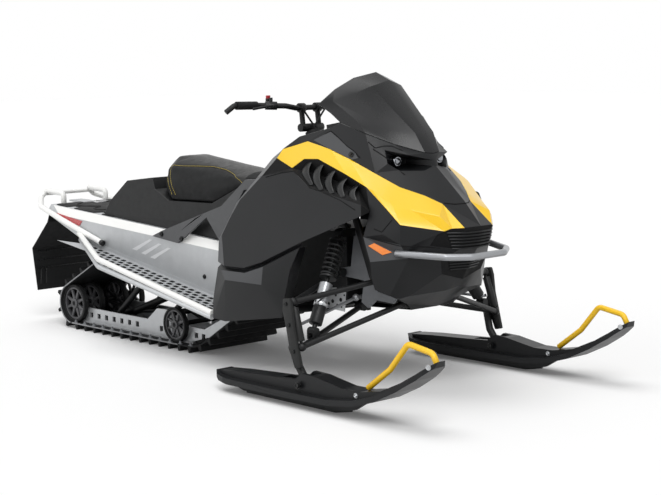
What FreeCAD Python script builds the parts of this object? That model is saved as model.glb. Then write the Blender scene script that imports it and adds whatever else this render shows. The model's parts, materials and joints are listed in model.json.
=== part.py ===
import FreeCAD, Part
import math
import os
from FreeCAD import Vector

# A snowmobile in millimetres: +X to the nose, +Y to the left, +Z up, origin on the ground at its middle.

# Reference sizes that the tables of shares follow
body_length = 2000.0
body_width = 880.0
dash_height = 1000.0
half_width = body_width / 2

# Walls of the bodywork
panel_wall = 4.0
screen_wall = 4.0
seat_gap = 0.3
run_clearance = 5.0
overrun = 10.0

# Tunnel and running boards
tunnel_half_width = 205.0
tunnel_wall = 3.0
tunnel_chamfer = 25.0
tunnel_chamfer_drop = 37.0
board_half_width = 395.0
board_thickness = 5.0
board_tube_radius = 12.0
accessory_hole_radius = 4.2

# Track, its wheels and its rails
track_width = 381.0
track_links = 45
belt_thickness = 6.0
lug_height = 25.0
lug_base_length = 22.0
lug_tip_length = 10.0
rear_wheel_radius = 90.0
middle_wheel_radius = 78.0
carrier_wheel_radius = 50.0
drive_radius = 85.0
wheel_width = 24.0
wheel_rim = 14.0
wheel_hub_radius = 24.0
wheel_web = 10.0
outer_wheel_offset = 165.0
inner_wheel_offset = 70.0
rail_offset = 140.0
rail_wall = 9.0
rail_height = 66.0
slider_height = 7.0
rail_hole = 24.0
shaft_radius = 11.0
skid_tube_radius = 14.0
skid_arm_offset = 95.0
carrier_brace_offset = 76.0
carrier_wheel_offset = 112.0
skid_shock_radius = 17.5
skid_spine_radius = 8.8
drive_shaft_radius = 15.0

# Skis and front suspension
ski_stance = 1077.0
ski_length = 1154.0
ski_width = 140.0
ski_rise = 262.0
ski_blade = 22.0
keel_width = 16.0
keel_depth = 36.0
runner_radius = 5.0
spine_width = 76.0
saddle_wall = 11.0
spindle_width = 34.0
spindle_foot_radius = 26.0
ski_bolt_radius = 7.0
pin_clearance = 0.05
arm_tube_radius = 11.0
joint_radius = 17.0
tie_rod_radius = 6.5
shock_body_radius = 25.0
shock_shaft_radius = 8.0
spring_coil_radius = 33.0
spring_wire_radius = 4.5
spring_turns = 7
loop_tube_radius = 11.0
stud_radius = 6.0
pivot_length = 40.0
eye_radius = 15.0
eye_width = 24.0
ear_wall = 7.0
collar_height = 6.0
shock_clevis_radius = 9.0
spindle_barrel_radius = 15.0
spindle_leg_radius = 15.0
steering_arm_length = 45.0
steering_arm_wall = 12.0
rack_radius = 9.0
rack_travel = 24.0
eye_lift = 7.6

# Bumpers
front_bumper_radius = 13.0
rear_bumper_radius = 13.0
hitch_hole_radius = 8.0
hitch_plate = 8.0
hitch_width = 70.0
hitch_length = 60.0
rear_bumper_bend = 18.2
grab_radius = 9.1

# Steering
bar_radius = 11.1
grip_radius = 16.5
post_radius = 14.0
bearing_wall = 8.0
bearing_length = 46.0
riser_radius = 11.0
post_tilt_share = 0.46
post_reach = 235.0
post_hole_reach = 200.0
head_radius = 16.5
clamp_width = 26.4
boot_stand = 28.6

# Control pods and levers
pod_radius = 17.0
lever_radius = 5.0
lever_reach = 91.8
lever_drop = 10.2
button_radius = 7.1
button_height = 32.3
cable_radius = 4.0
boot_radius = 33.0
boot_top_radius = 30.4
boot_height = 24.0
grip_start_share = 0.12
grip_end_share = 0.92
pod_start_share = 0.34
pod_end_share = 0.78

# Gauge and reflectors
gauge_length = 95.0
gauge_width = 190.0
gauge_height = 22.0
gauge_setback = 15.2
reflector_wall = 3.0

# Frame castings and struts
casting_wall = 9.0
strut_wall = 14.0
frame_tube_radius = 13.0
module_half_width = 118.0
wing_gap = 77.0
shock_stand = 65.5
shock_foot_back = 16.0
shock_foot_lift = 29.6

# Engine block
engine_length = 340.0
engine_width = 380.0
engine_height = 285.0

# Lamps
lamp_radius = 18.0
lamp_bezel = 5.0
lamp_depth = 34.0
lens_radius = 23.4
lens_set = 17.8

# Places on the left half, in shares of body_length, half_width and dash_height
place_shares = {
    "tunnel_rear": (-0.674, 0.000, 0.585),
    "tunnel_front": (0.115, 0.000, 0.490),
    "tunnel_end": (0.112, 0.000, 0.490),
    "side_cut": (-0.505, 0.000, 0.428),
    "board_rear": (-0.4995, 0.000, 0.428),
    "board_front": (-0.036, 0.000, 0.269),
    "flap_hang": (-0.690, 0.458, 0.500),
    "flap_knee": (-0.748, 0.455, 0.362),
    "flap_foot": (-0.759, 0.370, 0.149),
    "base_rear": (-0.470, 0.375, 0.570),
    "base_shoulder": (-0.450, 0.330, 0.760),
    "base_above": (0.150, 0.375, 0.800),
    "cross_bar": (0.112, 0.000, 0.773),
    "post_top": (0.148, 0.000, 1.004),
    "shock_top": (0.370, 0.000, 0.615),
    "rack": (0.363, 0.000, 0.352),
    "casting_rear": (0.350, 0.000, 0.335),
    "casting_front": (0.486, 0.000, 0.430),
    "core_rear": (0.362, 0.000, 0.420),
    "core_front": (0.455, 0.000, 0.600),
    "pocket_rear": (0.376, 0.000, 0.380),
    "pocket_front": (0.445, 0.000, 0.700),
    "upper_link": (0.408, 0.000, 0.408),
    "lower_link": (0.452, 0.000, 0.378),
    "lower_pivot_front": (0.4775, 0.000, 0.351),
    "lower_pivot_rear": (0.3605, 0.000, 0.314),
    "upper_pivot_front": (0.4475, 0.000, 0.440),
    "upper_pivot_rear": (0.345, 0.000, 0.453),
    "lower_ball": (0.413, 0.000, 0.222),
    "upper_ball": (0.3865, 0.000, 0.383),
    "clamp": (0.1455, 0.100, 1.075),
    "lamp": (0.437, 0.265, 0.887),
    "engine_front": (0.350, 0.000, 0.322),
    "rear_axle": (-0.5935, 0.000, 0.000),
    "middle_axle": (-0.208, 0.000, 0.000),
    "carrier": (-0.420, 0.000, 0.352),
    "drive": (0.043, 0.000, 0.338),
    "belt_nose": (-0.150, 0.000, 0.000),
    "front_arm_high": (-0.140, 0.000, 0.335),
    "rear_arm_high": (-0.300, 0.000, 0.374),
    "front_arm_low": (-0.262, 0.000, 0.140),
    "rear_arm_low": (-0.470, 0.000, 0.090),
    "ski_tip": (0.759, 0.000, 0.000),
}

# Lines of pieces in shares of body_length, of their own width or half_width, and of dash_height
board_plan_shares = [(-0.535, "inner"), (-0.333, "outer"), (0.060, "outer"), (0.060, "inner")]
rear_bumper_shares = [(-0.441, 1.00, 0.438), (-0.610, 1.00, 0.528), (-0.688, 1.00, 0.574),
                      (-0.737, 0.70, 0.608), (-0.737, 0.56, 0.641), (-0.6625, 0.56, 0.633)]
bar_line_shares = [(0.1455, 0.170, 1.075), (0.1440, 0.290, 1.085), (0.1170, 0.500, 1.089),
                   (0.1160, 0.800, 1.092), (0.1100, 0.875, 1.066)]
front_bumper_shares = [(0.629, 0.205, 0.550), (0.600, 0.390, 0.552), (0.5285, 0.540, 0.5575),
                       (0.5110, 0.560, 0.5585)]

# The seat base's top line, and the seat's rings, as x, height and half width shares
base_top_shares = [(-0.450, 0.627), (-0.388, 0.727), (-0.296, 0.750), (-0.283, 0.700), (-0.229, 0.655),
                   (-0.083, 0.662), (0.009, 0.745), (0.072, 0.780)]
seat_shares = [(-0.281, 0.770, 0.20), (-0.262, 0.835, 0.27), (-0.240, 0.857, 0.31), (-0.229, 0.856, 0.32),
               (-0.150, 0.838, 0.33), (-0.083, 0.823, 0.33), (-0.040, 0.814, 0.31), (0.009, 0.803, 0.27),
               (0.033, 0.788, 0.20)]

# Corners of the side lens as shares of its panel's three corners
side_lens_shares = [(0.630, 0.065, 0.305), (0.720, 0.240, 0.040), (0.300, 0.630, 0.070),
                    (0.222, 0.366, 0.412)]

# Lines of the ski in shares of ski_length from its rear end and of ski_rise
ski_top_shares = [(0.000, 0.300), (0.030, 0.250), (0.080, 0.225), (0.300, 0.222), (0.560, 0.235),
                  (0.680, 0.300), (0.770, 0.420), (0.860, 0.610), (0.935, 0.810), (1.000, 1.000)]
spine_top_shares = [(0.020, 0.300), (0.120, 0.335), (0.300, 0.375), (0.395, 0.400), (0.425, 0.500),
                    (0.490, 0.490), (0.530, 0.460), (0.610, 0.405), (0.690, 0.410), (0.780, 0.480),
                    (0.860, 0.640)]
keel_shares = [(0.060, 0.160), (0.085, 0.055), (0.110, 0.030), (0.560, 0.030), (0.640, 0.105),
               (0.700, 0.260)]
runner_shares = [(0.120, 0.0), (0.545, 0.0), (0.620, 0.062)]
loop_shares = [(0.695, 0.450), (0.790, 0.760), (0.865, 1.150), (0.965, 1.080), (0.982, 0.950)]

# Half widths of the ski in shares of half its width, along its length
ski_plan_shares = [(0.000, 0.55), (0.020, 0.82), (0.060, 0.96), (0.100, 1.00), (0.740, 1.00),
                   (0.840, 0.94), (0.910, 0.84), (0.960, 0.67), (0.985, 0.49), (1.000, 0.26)]

# Outlines in the XZ plane in shares of body_length and dash_height
reflector_outline_shares = [(-0.648, 0.578), (-0.560, 0.553), (-0.574, 0.535)]
strut_outline_shares = [(-0.252, 0.501), (-0.214, 0.531), (-0.011, 0.665), (0.068, 0.784), (0.125, 0.790),
                        (0.125, 0.766), (0.062, 0.740), (0.010, 0.600), (0.000, 0.492), (-0.012, 0.488),
                        (-0.020, 0.520), (-0.061, 0.610), (-0.150, 0.500), (-0.163, 0.484)]
strut_window_shares = [(-0.150, 0.540), (-0.070, 0.625), (-0.100, 0.600)]
wing_outline_shares = [(0.378, 0.640), (0.416, 0.470), (0.455, 0.452), (0.455, 0.425), (0.430, 0.425),
                       (0.440, 0.394), (0.489, 0.378), (0.480, 0.357), (0.435, 0.361), (0.413, 0.325),
                       (0.395, 0.345), (0.402, 0.430), (0.338, 0.438), (0.338, 0.468), (0.366, 0.478)]
rail_nose_shares = [(-0.080, 0.088), (-0.030, 0.152), (-0.012, 0.172), (-0.060, 0.165)]
rail_hump_shares = [(-0.245, 0.163), (-0.290, 0.160)]

# Places along the machine in shares of body_length
accessory_hole_shares = (-0.60, -0.49)
rail_tail_share, rail_start_share = -0.600, -0.168
rail_hump_start_share, rail_hump_end_share, rail_front_share = -0.325, -0.225, -0.122
slider_tail_share, slider_start_share = -0.592, -0.160
rail_hole_shares = (-0.545, -0.515, -0.485, -0.455, -0.425, -0.395, -0.365, -0.275, -0.150, -0.125)

# Shares of a piece's own length or reach
flap_top_share = 0.400
stay_shares = (0.55, 1.45)
lower_ball_share, upper_ball_share = 0.5060, 0.4990
shock_foot_share = 0.171
clevis_end_share, body_start_share, body_end_share, shaft_start_share = 0.14, 0.12, 0.47, 0.45
low_collar_share, high_collar_share = 0.53, 0.90
knee_back_share, knee_out_share, knee_drop_share = 3.4, 0.2, 0.5
ankle_back_share, ankle_rise_share = 3.0, 4.0
leg_root_share, steering_arm_share = 0.42, 0.33
rack_knob_share = 1.6
bar_bend_share = 1.6
cable_side_share, cable_out_share = 0.70, 0.22
cable_gap_share, cable_over_share = 1.5, 2.5
nose_roller_share = 2.2
saddle_rear_share, saddle_front_share = 4.4, 2.2
bolt_along_share, bolt_up_share = 0.583, 0.328
loop_bend_share = 2.5
seat_waist_share, seat_shoulder_share, seat_crown_share = 1.05, 0.92, 0.55
seat_waist_rise_share, seat_shoulder_rise_share, seat_crown_drop_share = 0.30, 0.72, 0.02


def at(x_share, y_share, z_share, side=1):
    """A place given in shares of the reference sizes; side is -1 for the right half."""
    return Vector(x_share * body_length, side * y_share * half_width, z_share * dash_height)


def place(name):
    """A place from the table, on the left half or on the middle plane."""
    return at(*place_shares[name])


def outline_of(shares):
    """The (x, z) points of an outline given in shares."""
    return [(x * body_length, z * dash_height) for x, z in shares]


def solid_of(faces):
    """A closed solid from flat faces that meet at their edges."""
    shell = Part.Shell(faces)
    shell.sewShape()
    solid = Part.Solid(shell)
    if solid.Volume < 0:
        solid.reverse()
    return solid


def flat_face(points):
    """A flat face through the points."""
    return Part.Face(Part.makePolygon(list(points) + [points[0]]))


def prism(points, sweep):
    """A prism from a flat outline and a sweep vector."""
    return flat_face(points).extrude(sweep)


def side_plate(outline, y_middle, thickness):
    """A plate in the XZ plane from (x, z) points, centred on y_middle."""
    points = [Vector(x, y_middle - thickness / 2, z) for x, z in outline]
    return prism(points, Vector(0, thickness, 0))


def box(low, high):
    """A box between two corners."""
    size = high - low
    return Part.makeBox(size.x, size.y, size.z, low)


def rod(start, end, radius):
    """A round bar between two points."""
    return Part.makeCylinder(radius, start.distanceToPoint(end), start, end - start)


def fused(shapes):
    """One solid of several that overlap."""
    return shapes[0].multiFuse(shapes[1:]).removeSplitter()


def mirrored(shape):
    """The shape on the other side of the machine."""
    return shape.mirror(Vector(0, 0, 0), Vector(0, 1, 0))


def both(shape):
    """A left and a right copy of a left-hand shape."""
    return Part.makeCompound([shape, mirrored(shape)])


def arc_route(points, bend):
    """A wire of straight runs joined by tangent arcs."""
    edges = []
    start = points[0]
    for before, corner, after in zip(points, points[1:], points[2:]):
        come = (corner - before).normalize()
        leave = (after - corner).normalize()
        half_turn = come.getAngle(leave) / 2
        reach = bend * math.tan(half_turn)
        first = corner - come * reach
        last = corner + leave * reach
        inward = (leave - come).normalize()
        middle = corner + inward * (bend / math.cos(half_turn) - bend)
        edges.append(Part.LineSegment(start, first).toShape())
        edges.append(Part.Arc(first, middle, last).toShape())
        start = last
    edges.append(Part.LineSegment(start, points[-1]).toShape())
    return Part.Wire(edges)


def bent_tube(points, radius, bend):
    """A round bar along straight runs joined by arcs."""
    path = arc_route(points, bend)
    ring = Part.Wire(Part.makeCircle(radius, points[0], points[1] - points[0]))
    return path.makePipeShell([ring], True, False)


def disc(centre, radius, width):
    """A disc on an axle along Y."""
    return Part.makeCylinder(radius, width, centre - Vector(0, width / 2, 0), Vector(0, 1, 0))


# Corners of the bodywork's left half, in shares of body_length, half_width and dash_height
net_shares = {
    "tip": (0.198, 0.625, 0.887),
    "tip_top": (0.209, 0.596, 0.923),
    "crown": (0.273, 0.557, 0.957),
    "rim_1": (0.333, 0.545, 0.931),
    "rim_2": (0.381, 0.518, 0.896),
    "rim_3": (0.437, 0.466, 0.846),
    "rim_4": (0.485, 0.386, 0.797),
    "rim_5": (0.5235, 0.264, 0.766),
    "plate_top": (0.551, 0.175, 0.735),
    "plate_low": (0.606, 0.175, 0.653),
    "chin_1": (0.589, 0.250, 0.651),
    "chin_2": (0.582, 0.307, 0.641),
    "cheek": (0.526, 0.580, 0.667),
    "cheek_up": (0.492, 0.600, 0.727),
    "flank": (0.448, 0.625, 0.800),
    "vent_3": (0.388, 0.609, 0.842),
    "vent_2": (0.310, 0.596, 0.892),
    "vent_1": (0.272, 0.602, 0.889),
    "hook": (0.248, 0.648, 0.853),
    "crease_1": (0.460, 0.609, 0.790),
    "crease_2": (0.499, 0.550, 0.738),
    "crease_3": (0.530, 0.455, 0.717),
    "crease_4": (0.572, 0.318, 0.697),
    "dash_3": (0.242, 0.527, 0.973),
    "dash_2": (0.250, 0.400, 0.986),
    "dash_0": (0.240, 0.000, 0.988),
    "dash_1": (0.323, 0.500, 1.011),
    "screen_1": (0.343, 0.466, 1.030),
    "screen_2": (0.4, 0.414, 0.9915),
    "screen_3": (0.445, 0.271, 0.951),
    "screen_4": (0.488, 0.091, 0.918),
    "screen_0": (0.491, 0.000, 0.914),
    "deck": (0.330, 0.000, 1.018),
    "lamp_1": (0.438, 0.350, 0.93),
    "lamp_2": (0.4505, 0.375, 0.8815),
    "lamp_3": (0.4655, 0.300, 0.854),
    "lamp_4": (0.498, 0.136, 0.853),
    "lamp_5": (0.497, 0.034, 0.868),
    "lamp_6": (0.495, 0.034, 0.890),
    "lamp_7": (0.478, 0.250, 0.913),
    "bridge_low": (0.499, 0.000, 0.866),
    "bridge_top": (0.496, 0.000, 0.891),
    "nose_top": (0.570, 0.000, 0.744),
    "nose_tip": (0.6115, 0.000, 0.655),
    "pod_2": (0.147, 0.340, 0.912),
    "pod_3": (0.115, 0.340, 0.873),
    "pod_4": (0.080, 0.340, 0.800),
    "pod_7": (0.070, 0.360, 0.665),
    "pod_mid_2": (0.140, 0.000, 0.925),
    "pod_mid_3": (0.108, 0.000, 0.880),
    "pod_mid_4": (0.075, 0.000, 0.805),
    "pod_mid_7": (0.065, 0.000, 0.665),
    "side_1": (0.259, 0.682, 0.847),
    "side_2": (0.320, 0.739, 0.786),
    "side_3": (0.462, 0.750, 0.739),
    "side_5": (0.467, 0.773, 0.699),
    "side_6": (0.342, 0.955, 0.586),
    "side_7": (0.243, 1.000, 0.497),
    "side_8": (0.189, 1.010, 0.464),
    "side_9": (0.128, 1.000, 0.461),
    "side_10": (0.108, 0.943, 0.579),
    "side_11": (0.128, 0.920, 0.650),
    "side_12": (0.145, 0.864, 0.722),
    "side_13": (0.178, 0.727, 0.817),
    "side_mid": (0.235, 0.909, 0.690),
    "back_1": (0.150, 0.680, 0.804),
    "back_12": (0.118, 0.800, 0.705),
    "back_2": (0.088, 0.905, 0.556),
    "back_3": (0.092, 0.935, 0.469),
    "vent_in_1": (0.285, 0.560, 0.835),
    "vent_in_2": (0.345, 0.560, 0.815),
    "vent_in_3": (0.415, 0.570, 0.785),
    "groove_6": (0.341, 0.915, 0.578),
    "groove_7": (0.243, 0.955, 0.489),
    "groove_8": (0.189, 0.965, 0.455),
    "groove_9": (0.122, 0.955, 0.452),
    "groove_10": (0.093, 0.900, 0.459),
    "low_0": (0.090, 0.930, 0.445),
    "low_1": (0.115, 0.980, 0.441),
    "low_2": (0.189, 0.995, 0.444),
    "low_3": (0.242, 0.985, 0.478),
    "low_4": (0.336, 0.935, 0.566),
    "low_5": (0.310, 0.943, 0.476),
    "low_6": (0.286, 0.920, 0.354),
    "low_7": (0.276, 0.909, 0.281),
    "low_8": (0.066, 0.909, 0.231),
    "low_9": (0.073, 0.932, 0.308),
    "low_10": (0.104, 0.909, 0.226),
    "facet_1": (0.240, 1.000, 0.407),
    "facet_2": (0.130, 1.000, 0.405),
    "return_4": (0.322, 0.800, 0.560),
    "return_5": (0.300, 0.790, 0.470),
    "return_6": (0.276, 0.770, 0.354),
    "return_7": (0.268, 0.750, 0.287),
    "cowl_1": (0.465, 0.659, 0.710),
    "cowl_2": (0.452, 0.682, 0.615),
    "cowl_3": (0.496, 0.648, 0.630),
    "band_1": (0.526, 0.580, 0.594),
    "band_2": (0.538, 0.518, 0.588),
    "grille_1": (0.572, 0.341, 0.632),
    "grille_5": (0.556, 0.364, 0.587),
    "grille_6": (0.595, 0.182, 0.572),
    "grille_7": (0.602, 0.000, 0.570),
    "skirt_1": (0.470, 0.682, 0.524),
    "skirt_2": (0.474, 0.682, 0.457),
    "skirt_3": (0.477, 0.659, 0.419),
    "skirt_4": (0.501, 0.591, 0.398),
    "skirt_5": (0.512, 0.523, 0.386),
    "skirt_6": (0.524, 0.455, 0.396),
    "skirt_7": (0.548, 0.136, 0.406),
    "skirt_8": (0.554, 0.000, 0.418),
    "corner_1": (0.530, 0.500, 0.540),
    "mouth_1": (0.570, 0.295, 0.533),
    "mouth_2": (0.563, 0.250, 0.476),
    "mouth_3": (0.565, 0.000, 0.447),
    "mouth_0": (0.588, 0.000, 0.530),
    "keel_1": (0.492, 0.341, 0.352),
    "keel_2": (0.488, 0.270, 0.325),
    "keel_3": (0.500, 0.000, 0.329),
    "floor_0": (0.066, 0.550, 0.245),
    "floor_1": (0.125, 0.550, 0.262),
    "floor_2": (0.345, 0.215, 0.305),
    "floor_3": (0.3725, 0.2225, 0.3089),
    "floor_mid_1": (0.125, 0.000, 0.262),
    "floor_mid_2": (0.345, 0.000, 0.305),
}

accent_facets = [
    ("tip", "tip_top", "hook"), ("tip_top", "vent_1", "hook"), ("tip_top", "crown", "vent_1"),
    ("crown", "rim_1", "vent_2"), ("crown", "vent_2", "vent_1"), ("rim_1", "rim_2", "vent_3"),
    ("rim_1", "vent_3", "vent_2"), ("rim_2", "rim_3", "flank"), ("rim_2", "flank", "vent_3"),
    ("rim_3", "rim_4", "crease_1"), ("rim_3", "crease_1", "flank"), ("rim_4", "crease_2", "crease_1"),
    ("rim_4", "crease_3", "crease_2"), ("rim_4", "rim_5", "crease_3"), ("rim_5", "crease_4", "crease_3"),
    ("rim_5", "plate_top", "crease_4"), ("plate_top", "chin_1", "crease_4"),
    ("plate_top", "plate_low", "chin_1"), ("crease_1", "cheek_up", "flank"),
    ("crease_1", "crease_2", "cheek_up"), ("crease_2", "cheek", "cheek_up"),
    ("crease_2", "crease_3", "cheek"), ("crease_3", "crease_4", "chin_2"),
    ("crease_3", "chin_2", "cheek"), ("crease_4", "chin_1", "chin_2"),
]
hood_facets = [
    ("tip_top", "crown", "dash_3"), ("crown", "dash_1", "dash_3"), ("crown", "rim_1", "dash_1"),
    ("rim_1", "screen_1", "dash_1"), ("rim_1", "rim_2", "screen_1"), ("rim_2", "screen_2", "screen_1"),
    ("rim_2", "rim_3", "screen_2"), ("rim_3", "lamp_2", "screen_2"), ("screen_2", "lamp_2", "lamp_1"),
    ("screen_2", "lamp_1", "screen_3"), ("screen_3", "lamp_1", "lamp_7"),
    ("screen_3", "lamp_7", "screen_4"), ("screen_4", "lamp_7", "lamp_6"),
    ("screen_4", "lamp_6", "bridge_top"), ("screen_4", "bridge_top", "screen_0"),
    ("lamp_6", "lamp_5", "bridge_low"), ("lamp_6", "bridge_low", "bridge_top"),
    ("rim_3", "rim_4", "lamp_3"), ("rim_3", "lamp_3", "lamp_2"), ("rim_4", "rim_5", "lamp_4"),
    ("rim_4", "lamp_4", "lamp_3"), ("rim_5", "plate_top", "lamp_4"), ("plate_top", "nose_top", "bridge_low"),
    ("plate_top", "bridge_low", "lamp_4"), ("lamp_4", "bridge_low", "lamp_5"),
    ("plate_top", "plate_low", "nose_tip"), ("plate_top", "nose_tip", "nose_top"),
    ("screen_1", "screen_2", "deck"), ("screen_2", "screen_3", "deck"), ("screen_3", "screen_4", "deck"),
    ("screen_4", "screen_0", "deck"), ("dash_1", "screen_1", "deck"), ("dash_3", "dash_1", "dash_2"),
    ("dash_2", "dash_1", "deck"), ("dash_2", "deck", "dash_0"),
]
lamp_rim = ["lamp_1", "lamp_2", "lamp_3", "lamp_4", "lamp_5", "lamp_6", "lamp_7"]
console_facets = [
    ("dash_0", "dash_2", "pod_2"), ("dash_0", "pod_2", "pod_mid_2"), ("pod_mid_2", "pod_2", "pod_3"),
    ("pod_mid_2", "pod_3", "pod_mid_3"), ("pod_mid_3", "pod_3", "pod_4"),
    ("pod_mid_3", "pod_4", "pod_mid_4"), ("dash_2", "dash_3", "pod_2"), ("dash_3", "tip_top", "pod_2"),
    ("tip_top", "tip", "pod_2"), ("tip", "side_13", "pod_2"), ("pod_2", "side_13", "pod_3"),
    ("pod_3", "side_13", "back_1"), ("pod_3", "back_1", "pod_4"), ("pod_mid_4", "pod_4", "pod_7"),
    ("pod_mid_4", "pod_7", "pod_mid_7"),
]
side_panel_facets = [
    ("side_13", "side_1", "side_mid"), ("side_1", "side_2", "side_mid"), ("side_2", "side_3", "side_5"),
    ("side_2", "side_5", "side_6"), ("side_2", "side_6", "side_mid"), ("side_mid", "side_6", "side_7"),
    ("side_mid", "side_7", "side_8"), ("side_mid", "side_8", "side_9"), ("side_mid", "side_9", "side_10"),
    ("side_mid", "side_10", "side_11"), ("side_mid", "side_11", "side_12"),
    ("side_mid", "side_12", "side_13"), ("side_13", "side_12", "back_1"),
    ("back_1", "side_12", "back_12"), ("side_12", "side_11", "back_12"), ("back_12", "side_11", "back_2"),
    ("side_11", "side_10", "back_2"), ("back_2", "side_10", "back_3"), ("side_10", "side_9", "back_3"),
]
vent_facets = [
    ("tip", "hook", "side_13"), ("hook", "side_1", "side_13"), ("hook", "vent_1", "vent_in_1"),
    ("hook", "vent_in_1", "side_1"), ("vent_1", "vent_2", "vent_in_1"), ("vent_2", "vent_in_2", "vent_in_1"),
    ("vent_2", "vent_3", "vent_in_2"), ("vent_3", "vent_in_3", "vent_in_2"),
    ("vent_3", "flank", "vent_in_3"), ("side_1", "vent_in_1", "side_2"),
    ("vent_in_1", "vent_in_2", "side_2"), ("vent_in_2", "vent_in_3", "side_2"),
    ("vent_in_3", "side_3", "side_2"), ("flank", "cowl_1", "vent_in_3"), ("vent_in_3", "cowl_1", "side_3"),
    ("cowl_1", "side_5", "side_3"),
]
lower_panel_facets = [
    ("side_6", "groove_6", "groove_7"), ("side_6", "groove_7", "side_7"), ("side_7", "groove_7", "groove_8"),
    ("side_7", "groove_8", "side_8"), ("side_8", "groove_8", "groove_9"), ("side_8", "groove_9", "side_9"),
    ("side_9", "groove_9", "groove_10"), ("side_9", "groove_10", "back_3"),
    ("groove_6", "low_4", "low_3"), ("groove_6", "low_3", "groove_7"), ("groove_7", "low_3", "low_2"),
    ("groove_7", "low_2", "groove_8"), ("groove_8", "low_2", "low_1"), ("groove_8", "low_1", "groove_9"),
    ("groove_9", "low_1", "low_0"), ("groove_9", "low_0", "groove_10"),
    ("low_0", "low_1", "facet_2"), ("low_0", "facet_2", "low_9"), ("low_1", "low_2", "facet_2"),
    ("low_2", "facet_1", "facet_2"), ("low_2", "low_3", "facet_1"), ("low_3", "low_4", "low_5"),
    ("low_3", "low_5", "facet_1"), ("facet_1", "low_5", "low_6"), ("facet_1", "low_6", "low_7"),
    ("facet_1", "low_7", "low_10"), ("facet_1", "low_10", "facet_2"), ("facet_2", "low_10", "low_8"),
    ("facet_2", "low_8", "low_9"), ("low_4", "return_4", "return_5"), ("low_4", "return_5", "low_5"),
    ("low_5", "return_5", "return_6"), ("low_5", "return_6", "low_6"), ("low_6", "return_6", "return_7"),
    ("low_6", "return_7", "low_7"),
]
cowl_facets = [
    ("flank", "cheek_up", "cowl_1"), ("cowl_1", "cowl_3", "cowl_2"), ("cowl_1", "cheek_up", "cowl_3"),
    ("cheek_up", "cheek", "cowl_3"), ("cowl_3", "cheek", "band_1"), ("cowl_2", "cowl_3", "band_1"),
    ("cheek", "band_2", "band_1"), ("cheek", "chin_2", "band_2"), ("chin_2", "grille_1", "band_2"),
    ("band_2", "grille_1", "grille_5"), ("chin_2", "chin_1", "grille_1"),
    ("cowl_2", "band_1", "corner_1"), ("cowl_2", "corner_1", "skirt_1"), ("band_1", "band_2", "corner_1"),
    ("band_2", "grille_5", "corner_1"), ("grille_5", "mouth_1", "corner_1"),
    ("grille_5", "grille_6", "mouth_1"), ("grille_6", "mouth_0", "mouth_1"),
    ("grille_6", "grille_7", "mouth_0"), ("skirt_1", "corner_1", "skirt_2"),
    ("corner_1", "skirt_3", "skirt_2"), ("corner_1", "skirt_4", "skirt_3"),
    ("corner_1", "skirt_5", "skirt_4"), ("corner_1", "skirt_6", "skirt_5"),
    ("corner_1", "mouth_2", "skirt_6"), ("corner_1", "mouth_1", "mouth_2"),
    ("skirt_6", "mouth_2", "skirt_7"), ("mouth_2", "mouth_3", "skirt_7"), ("skirt_7", "mouth_3", "skirt_8"),
]
grille_facets = [
    ("grille_1", "grille_6", "grille_5"), ("grille_1", "chin_1", "grille_6"),
    ("chin_1", "plate_low", "grille_6"), ("plate_low", "grille_7", "grille_6"),
    ("plate_low", "nose_tip", "grille_7"), ("mouth_1", "mouth_3", "mouth_2"),
    ("mouth_1", "mouth_0", "mouth_3"),
]
belly_facets = [
    ("low_8", "low_10", "floor_0"), ("low_10", "floor_1", "floor_0"), ("low_10", "low_7", "floor_1"),
    ("low_7", "return_7", "floor_1"), ("floor_1", "return_7", "floor_2"),
    ("floor_1", "floor_2", "floor_mid_2"), ("floor_1", "floor_mid_2", "floor_mid_1"),
    ("floor_2", "floor_3", "floor_mid_2"), ("floor_3", "keel_2", "keel_3"),
    ("floor_3", "keel_3", "floor_mid_2"), ("keel_1", "keel_3", "keel_2"),
    ("skirt_4", "skirt_5", "keel_1"), ("skirt_5", "skirt_6", "keel_1"), ("skirt_6", "skirt_7", "keel_1"),
    ("skirt_7", "keel_3", "keel_1"), ("skirt_7", "skirt_8", "keel_3"),
]
screen_shares = {
    "base_1": (0.343, 0.466, 1.032),
    "base_2": (0.400, 0.414, 0.9935),
    "base_3": (0.445, 0.271, 0.953),
    "base_4": (0.488, 0.091, 0.920),
    "base_0": (0.491, 0.000, 0.916),
    "low_0": (0.474, 0.000, 0.990),
    "low_4": (0.468, 0.115, 0.992),
    "low_3": (0.4245, 0.259, 1.0125),
    "low_2": (0.378, 0.425, 1.042),
    "low_1": (0.320, 0.478, 1.066),
    "high_0": (0.376, 0.000, 1.190),
    "high_4": (0.367, 0.190, 1.168),
    "high_3": (0.345, 0.300, 1.140),
    "high_2": (0.318, 0.440, 1.112),
    "rear": (0.288, 0.489, 1.101),
    "top_0": (0.339, 0.000, 1.221),
    "top_4": (0.322, 0.205, 1.200),
    "top_3": (0.303, 0.352, 1.157),
}
screen_facets = [
    ("base_0", "base_4", "low_4"), ("base_0", "low_4", "low_0"), ("base_4", "base_3", "low_3"),
    ("base_4", "low_3", "low_4"), ("base_3", "base_2", "low_2"), ("base_3", "low_2", "low_3"),
    ("base_2", "base_1", "low_1"), ("base_2", "low_1", "low_2"), ("low_0", "low_4", "high_4"),
    ("low_0", "high_4", "high_0"), ("low_4", "low_3", "high_3"), ("low_4", "high_3", "high_4"),
    ("low_3", "low_2", "high_2"), ("low_3", "high_2", "high_3"), ("low_2", "low_1", "rear"),
    ("low_2", "rear", "high_2"), ("high_0", "high_4", "top_4"), ("high_0", "top_4", "top_0"),
    ("high_4", "high_3", "top_3"), ("high_4", "top_3", "top_4"), ("high_3", "high_2", "top_3"),
    ("high_2", "rear", "top_3"),
]


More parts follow.
